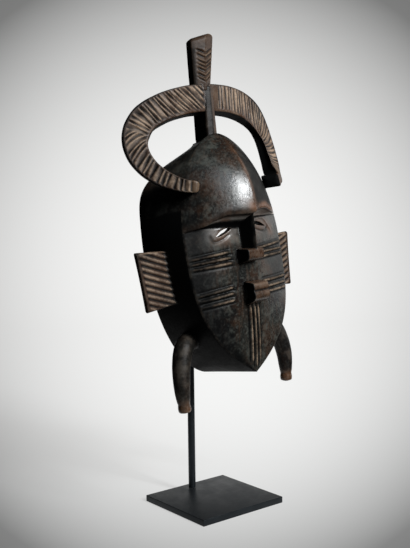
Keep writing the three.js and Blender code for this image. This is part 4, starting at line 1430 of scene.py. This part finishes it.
class StageLook(bpy.types.PropertyGroup):
    """Floor and light of the studio."""

    floor: bpy.props.FloatVectorProperty(
        name="Floor", description="Colour of the floor and the wall behind",
        default=(1.0, 1.0, 0.99), min=0.0, max=1.0, size=3, subtype="COLOR")
    glow: bpy.props.FloatProperty(
        name="Glow", description="Light that the lit sweep gives off by itself",
        default=0.82, min=0.0)
    bounce: bpy.props.FloatProperty(
        name="Bounce", description="Share of the lamps' light that the floor throws back",
        default=0.25, min=0.0, max=1.0, subtype="FACTOR")
    forelight: bpy.props.FloatProperty(
        name="Forelight", description="Share of the glow that the floor before the picture keeps",
        default=0.2, min=0.0, max=3.0)
    key_power: bpy.props.FloatProperty(
        name="Key light", description="Power of the large light before the mask",
        default=36.0, min=0.0, unit="POWER")
    key_size: bpy.props.FloatProperty(
        name="Key size", description="Width of the key light",
        default=0.36, min=0.01, subtype="DISTANCE", unit="LENGTH")
    key_azimuth: bpy.props.FloatProperty(
        name="Key direction", description="Where the key light stands, turned from straight before the mask",
        default=math.radians(8), subtype="ANGLE", unit="ROTATION")
    key_elevation: bpy.props.FloatProperty(
        name="Key height", description="How high the key light stands over the horizon",
        default=math.radians(30), subtype="ANGLE", unit="ROTATION")
    fill_power: bpy.props.FloatProperty(
        name="Fill light", description="Power of the weak light beside the camera",
        default=4.0, min=0.0, unit="POWER")
    side_power: bpy.props.FloatProperty(
        name="Side light", description="Power of the weak light from the right",
        default=5.0, min=0.0, unit="POWER")
    world_strength: bpy.props.FloatProperty(
        name="Ambient light", description="Strength of the even light from all sides",
        default=0.02, min=0.0)


# Operators, one for each piece

class MASK_OT_carve(bpy.types.Operator):
    """Carve the mask: shell, eyes, nose, lips, stem, crest, horns, ears and legs in one piece of wood"""

    bl_idname = "mask.carve"
    bl_label = "Carve the mask"

    def execute(self, context):
        look = context.scene.mask_look
        horn_groove, ear_groove = look.horn_groove / MM, look.ear_groove / MM
        parts = [
            stem_mesh(), crest_mesh(horn_groove),
            *[horn_mesh(side, horn_groove) for side in (LEFT, RIGHT)],
            *[ear_mesh(side, ear_groove) for side in (LEFT, RIGHT)],
            *[leg_mesh(side) for side in (LEFT, RIGHT)],
            nose_mesh(), cross_block("nostrils", NOSTRILS), cross_block("lips", LIPS),
        ]
        body = combined(shell_mesh(), parts, [eye_cutter(LEFT), eye_cutter(RIGHT)])
        piece = put_in_scene("carved_mask", finished(body, "carved_mask"))
        finish_piece(piece, wood_material(look), "mask")
        return {"FINISHED"}


class MASK_OT_rod(bpy.types.Operator):
    """Make the stand's rod: upright from the plate to an elbow, then forward and up to its round end"""

    bl_idname = "mask.rod"
    bl_label = "Make the rod"

    def execute(self, context):
        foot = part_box("stand_rod")[0].z / MM
        rise = math.radians(ARM["rise"])
        bend = ROD["elbow_radius"] * math.tan((math.pi / 2 - rise) / 2)
        corner = np.array([0.0, ROD["behind_centre"], ROD["elbow_height"]])
        up, forward = np.array([0.0, 0.0, 1.0]), np.array([0.0, -math.cos(rise), math.sin(rise)])
        start = np.array([0.0, ROD["behind_centre"], foot])
        before, after = corner - up * bend, corner + forward * bend
        t = np.linspace(0, 1, 16)[:, None]
        elbow = (1 - t) ** 2 * before + 2 * t * (1 - t) * corner + t * t * after
        arm_end = corner + forward * ARM["reach"]
        straight = lerp(start, before, np.linspace(0, 1, 30, endpoint=False)[:, None])
        turn = np.linspace(0, math.pi / 2, 9)[:, None]
        arm = lerp(after, arm_end, np.linspace(0, 1, 12)[1:, None])
        cap = arm_end + forward * ROD["radius"] * np.sin(turn[1:])
        centre = np.vstack([straight, elbow, arm, cap])
        radius = np.full(len(centre), ROD["radius"])
        radius[-len(cap):] = ROD["radius"] * np.cos(turn[1:, 0])
        along = unit(np.gradient(centre, axis=0))
        sideways = np.broadcast_to([1.0, 0.0, 0.0], along.shape)
        rings = tube(centre, radius, sideways, np.cross(along, sideways), 48)
        steel_piece("steel_rod", rings, SHARP["rod"], context.scene.mask_look, SHINE["rod"], "stand_rod")
        return {"FINISHED"}


class MASK_OT_plate(bpy.types.Operator):
    """Make the stand's plate: a flat steel plate with slightly rounded edges"""

    bl_idname = "mask.plate"
    bl_label = "Make the plate"

    def execute(self, context):
        half_x, half_y, top = (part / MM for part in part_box("stand_base")[1])
        r = PLATE_EDGE
        turn = np.linspace(0, math.pi / 2, 5)
        corner_turns = np.concatenate([turn + quarter * math.pi / 2 for quarter in range(4)])
        centres = np.repeat([(1, 1), (-1, 1), (-1, -1), (1, -1)], len(turn), axis=0) * (half_x - r, half_y - r)
        inset = np.concatenate([r * (1 - np.sin(turn)), r * (1 - np.cos(turn))])
        height = np.concatenate([r * (1 - np.cos(turn)), top - r * (1 - np.sin(turn))])
        radius = (r - inset)[:, None]
        x = centres[:, 0] + radius * np.cos(corner_turns)
        y = centres[:, 1] + radius * np.sin(corner_turns)
        rings = stacked(x, y, height[:, None])
        steel_piece("steel_plate", rings, SHARP["plate"], context.scene.mask_look, SHINE["plate"], "stand_base")
        return {"FINISHED"}


def heading(azimuth, elevation):
    """The unit direction towards something seen at an azimuth and an elevation, from straight before the mask."""
    return np.array([
        math.sin(azimuth) * math.cos(elevation), -math.cos(azimuth) * math.cos(elevation), math.sin(elevation)])


def camera_axes():
    """The photograph's camera: its place and its unit axes to the right, up and back."""
    azimuth, elevation, roll = (math.radians(CAMERA[key]) for key in ("azimuth", "elevation", "roll"))
    back = heading(azimuth, elevation)
    level = np.array([math.cos(azimuth), math.sin(azimuth), 0])
    upright = np.cross(back, level)
    right = level * math.cos(roll) + upright * math.sin(roll)
    return np.array(CAMERA["target"]) + back * CAMERA["distance"], right, np.cross(back, right), back


def sweep_glow(grid, forelight):
    """How brightly the sweep glows, a pool of light painted on it: 1 at the picture's middle, less a power of the
    distance from it, and nothing past the picture's corners, but for some light on the floor between the camera and
    the mask."""
    eye, right, up, back = camera_axes()
    offset = grid - eye
    ahead = -(offset @ back)
    away = np.hypot(offset @ right, offset @ up) / np.maximum(ahead, 1e-3)
    seen = np.where(ahead > 0.05, clamped(1 - (away / SWEEP["dark_at"]) ** SWEEP["falloff"]), 0)
    below = np.where(ahead > 0.05, -(offset @ up) / np.maximum(ahead, 1e-3), 1)
    x, y = SWEEP["forelight_at"]
    near = smoothstep(np.hypot(grid[..., 0] - x, grid[..., 1] - y), *SWEEP["forelight_fades"]) * (grid[..., 2] < 0.01)
    return np.maximum(seen, forelight * near * smoothstep(below, *SWEEP["below_picture"]))


class MASK_OT_stage(bpy.types.Operator):
    """Set the stage: pale seamless floor and wall, soft key light and the photograph's camera"""

    bl_idname = "mask.stage"
    bl_label = "Set the stage"

    def execute(self, context):
        look = context.scene.stage_look
        self.sweep(look)
        self.lights(context, look)
        self.camera(context)
        return {"FINISHED"}

    def sweep(self, look):
        """The floor runs back from behind the camera, bends up and goes on as a wall."""
        azimuth = math.radians(CAMERA["azimuth"])
        away, sideways = -heading(azimuth, 0), np.array([math.cos(azimuth), math.sin(azimuth), 0])
        near, far, bend, top = (SWEEP[key] for key in ("near", "far", "bend", "top"))
        turn = np.linspace(0, math.pi / 2, 25)
        floor = np.concatenate([np.linspace(near, -0.5, 18), np.linspace(-0.5, far, 70)[1:-1]])
        run = np.concatenate([floor, far + bend * np.sin(turn), np.full(30, far + bend)])
        rise = np.concatenate([0 * floor, bend * (1 - np.cos(turn)), np.linspace(bend, top, 31)[1:]])
        q = np.linspace(-1, 1, 121)
        across = SWEEP["half_width"] * (0.1 * q + 0.9 * q ** 3)
        grid = (
            run[:, None, None] * away
            + across[None, :, None] * sideways
            + rise[:, None, None] * np.array([0, 0, 1.0])
        )
        ids = np.arange(grid[..., 0].size).reshape(grid.shape[:2])
        mesh = triangle_mesh("studio_sweep", grid.reshape(-1, 3), split_quads(ids))
        put_attribute(mesh, "glow", sweep_glow(grid, look.forelight).ravel())
        mesh.materials.append(self.sweep_material(look))
        put_in_scene("studio_sweep", mesh)

    def sweep_material(self, look):
        """A dull pale surface that glows. Past the picture it looks dim but gives off nothing, so that the light on
        the mask comes from where the photograph has it."""
        paint = Paint("pale_sweep")
        glow = paint.carried("glow")
        looked_at = paint.node("ShaderNodeLightPath").outputs["Is Camera Ray"]
        # Painted light: the glow value, a pool of light painted on the sweep, sets its colour as well as its glow, and
        # what the camera sees past it is painted dim
        shown = paint.most(glow, paint.times(looked_at, SWEEP["dimmest"]))
        return paint.finish({
            "Base Color": paint.mix(glow, (0, 0, 0, 1), rgba(look.floor, look.bounce)),
            "Roughness": 0.9, "Specular IOR Level": 0.0,
            "Emission Color": rgba(look.floor), "Emission Strength": paint.times(shown, look.glow),
        })

    def lights(self, context, look):
        """The tall key, a weak bluish fill from the camera's side and a soft light from the right."""
        towards_key = heading(look.key_azimuth, look.key_elevation)
        key = self.lamp(context, "key", towards_key, look.key_size, LAMPS["key_colour"], look.key_power)
        key.shape, key.size_y = "RECTANGLE", LAMPS["key_height_to_width"] * look.key_size
        for name, power in (("fill", look.fill_power), ("side", look.side_power)):
            azimuth, elevation, size, colour = LAMPS[name]
            self.lamp(context, name, heading(math.radians(azimuth), math.radians(elevation)), size, colour, power)
        world = bpy.data.worlds.new("studio")
        world.use_nodes = True
        background = world.node_tree.nodes["Background"]
        background.inputs["Color"].default_value = (1, 1, 1, 1)
        background.inputs["Strength"].default_value = look.world_strength
        context.scene.world = world
        context.scene.view_settings.view_transform = "Standard"

    def lamp(self, context, name, direction, size, colour, power):
        """A square light that stands in a direction from the mask's middle and is turned towards it."""
        towards = Vector(direction)
        data = bpy.data.lights.new(name, "AREA")
        data.size, data.energy, data.color = size, power, colour
        light = bpy.data.objects.new(name, data)
        light.location = Vector(LAMPS["aimed_at"]) + LAMPS["distance"] * towards
        light.rotation_euler = towards.to_track_quat("Z", "Y").to_euler()
        context.scene.collection.objects.link(light)
        return data

    def camera(self, context):
        place, *axes = camera_axes()
        data = bpy.data.cameras.new("photo_camera")
        data.sensor_width = CAMERA["sensor"]
        data.lens = CAMERA["focal_pixels"] * CAMERA["sensor"] / CAMERA["image_height"]
        camera = bpy.data.objects.new("photo_camera", data)
        context.scene.collection.objects.link(camera)
        camera.matrix_world = Matrix.Translation(place) @ Matrix(axes).transposed().to_4x4()
        context.scene.camera = camera


class MASK_PT_panel(bpy.types.Panel):
    """The pieces and their settings"""

    bl_label = "Ligbi mask"
    bl_idname = "MASK_PT_panel"
    bl_space_type = "VIEW_3D"
    bl_region_type = "UI"
    bl_category = "Mask"

    def draw(self, context):
        for operator in OPERATORS:
            self.layout.operator(operator.bl_idname)
        for settings in (context.scene.mask_look, context.scene.stage_look):
            for name in type(settings).__annotations__:
                self.layout.prop(settings, name)


OPERATORS = (MASK_OT_carve, MASK_OT_rod, MASK_OT_plate, MASK_OT_stage)
CLASSES = (MaskLook, StageLook, *OPERATORS, MASK_PT_panel)


def register():
    for each in CLASSES:
        bpy.utils.register_class(each)
    bpy.types.Scene.mask_look = bpy.props.PointerProperty(type=MaskLook)
    bpy.types.Scene.stage_look = bpy.props.PointerProperty(type=StageLook)


def unregister():
    del bpy.types.Scene.stage_look
    del bpy.types.Scene.mask_look
    for each in reversed(CLASSES):
        bpy.utils.unregister_class(each)


def main():
    register()
    bpy.ops.mask.carve()
    bpy.ops.mask.rod()
    bpy.ops.mask.plate()
    bpy.ops.mask.stage()


if __name__ == "__main__":
    main()
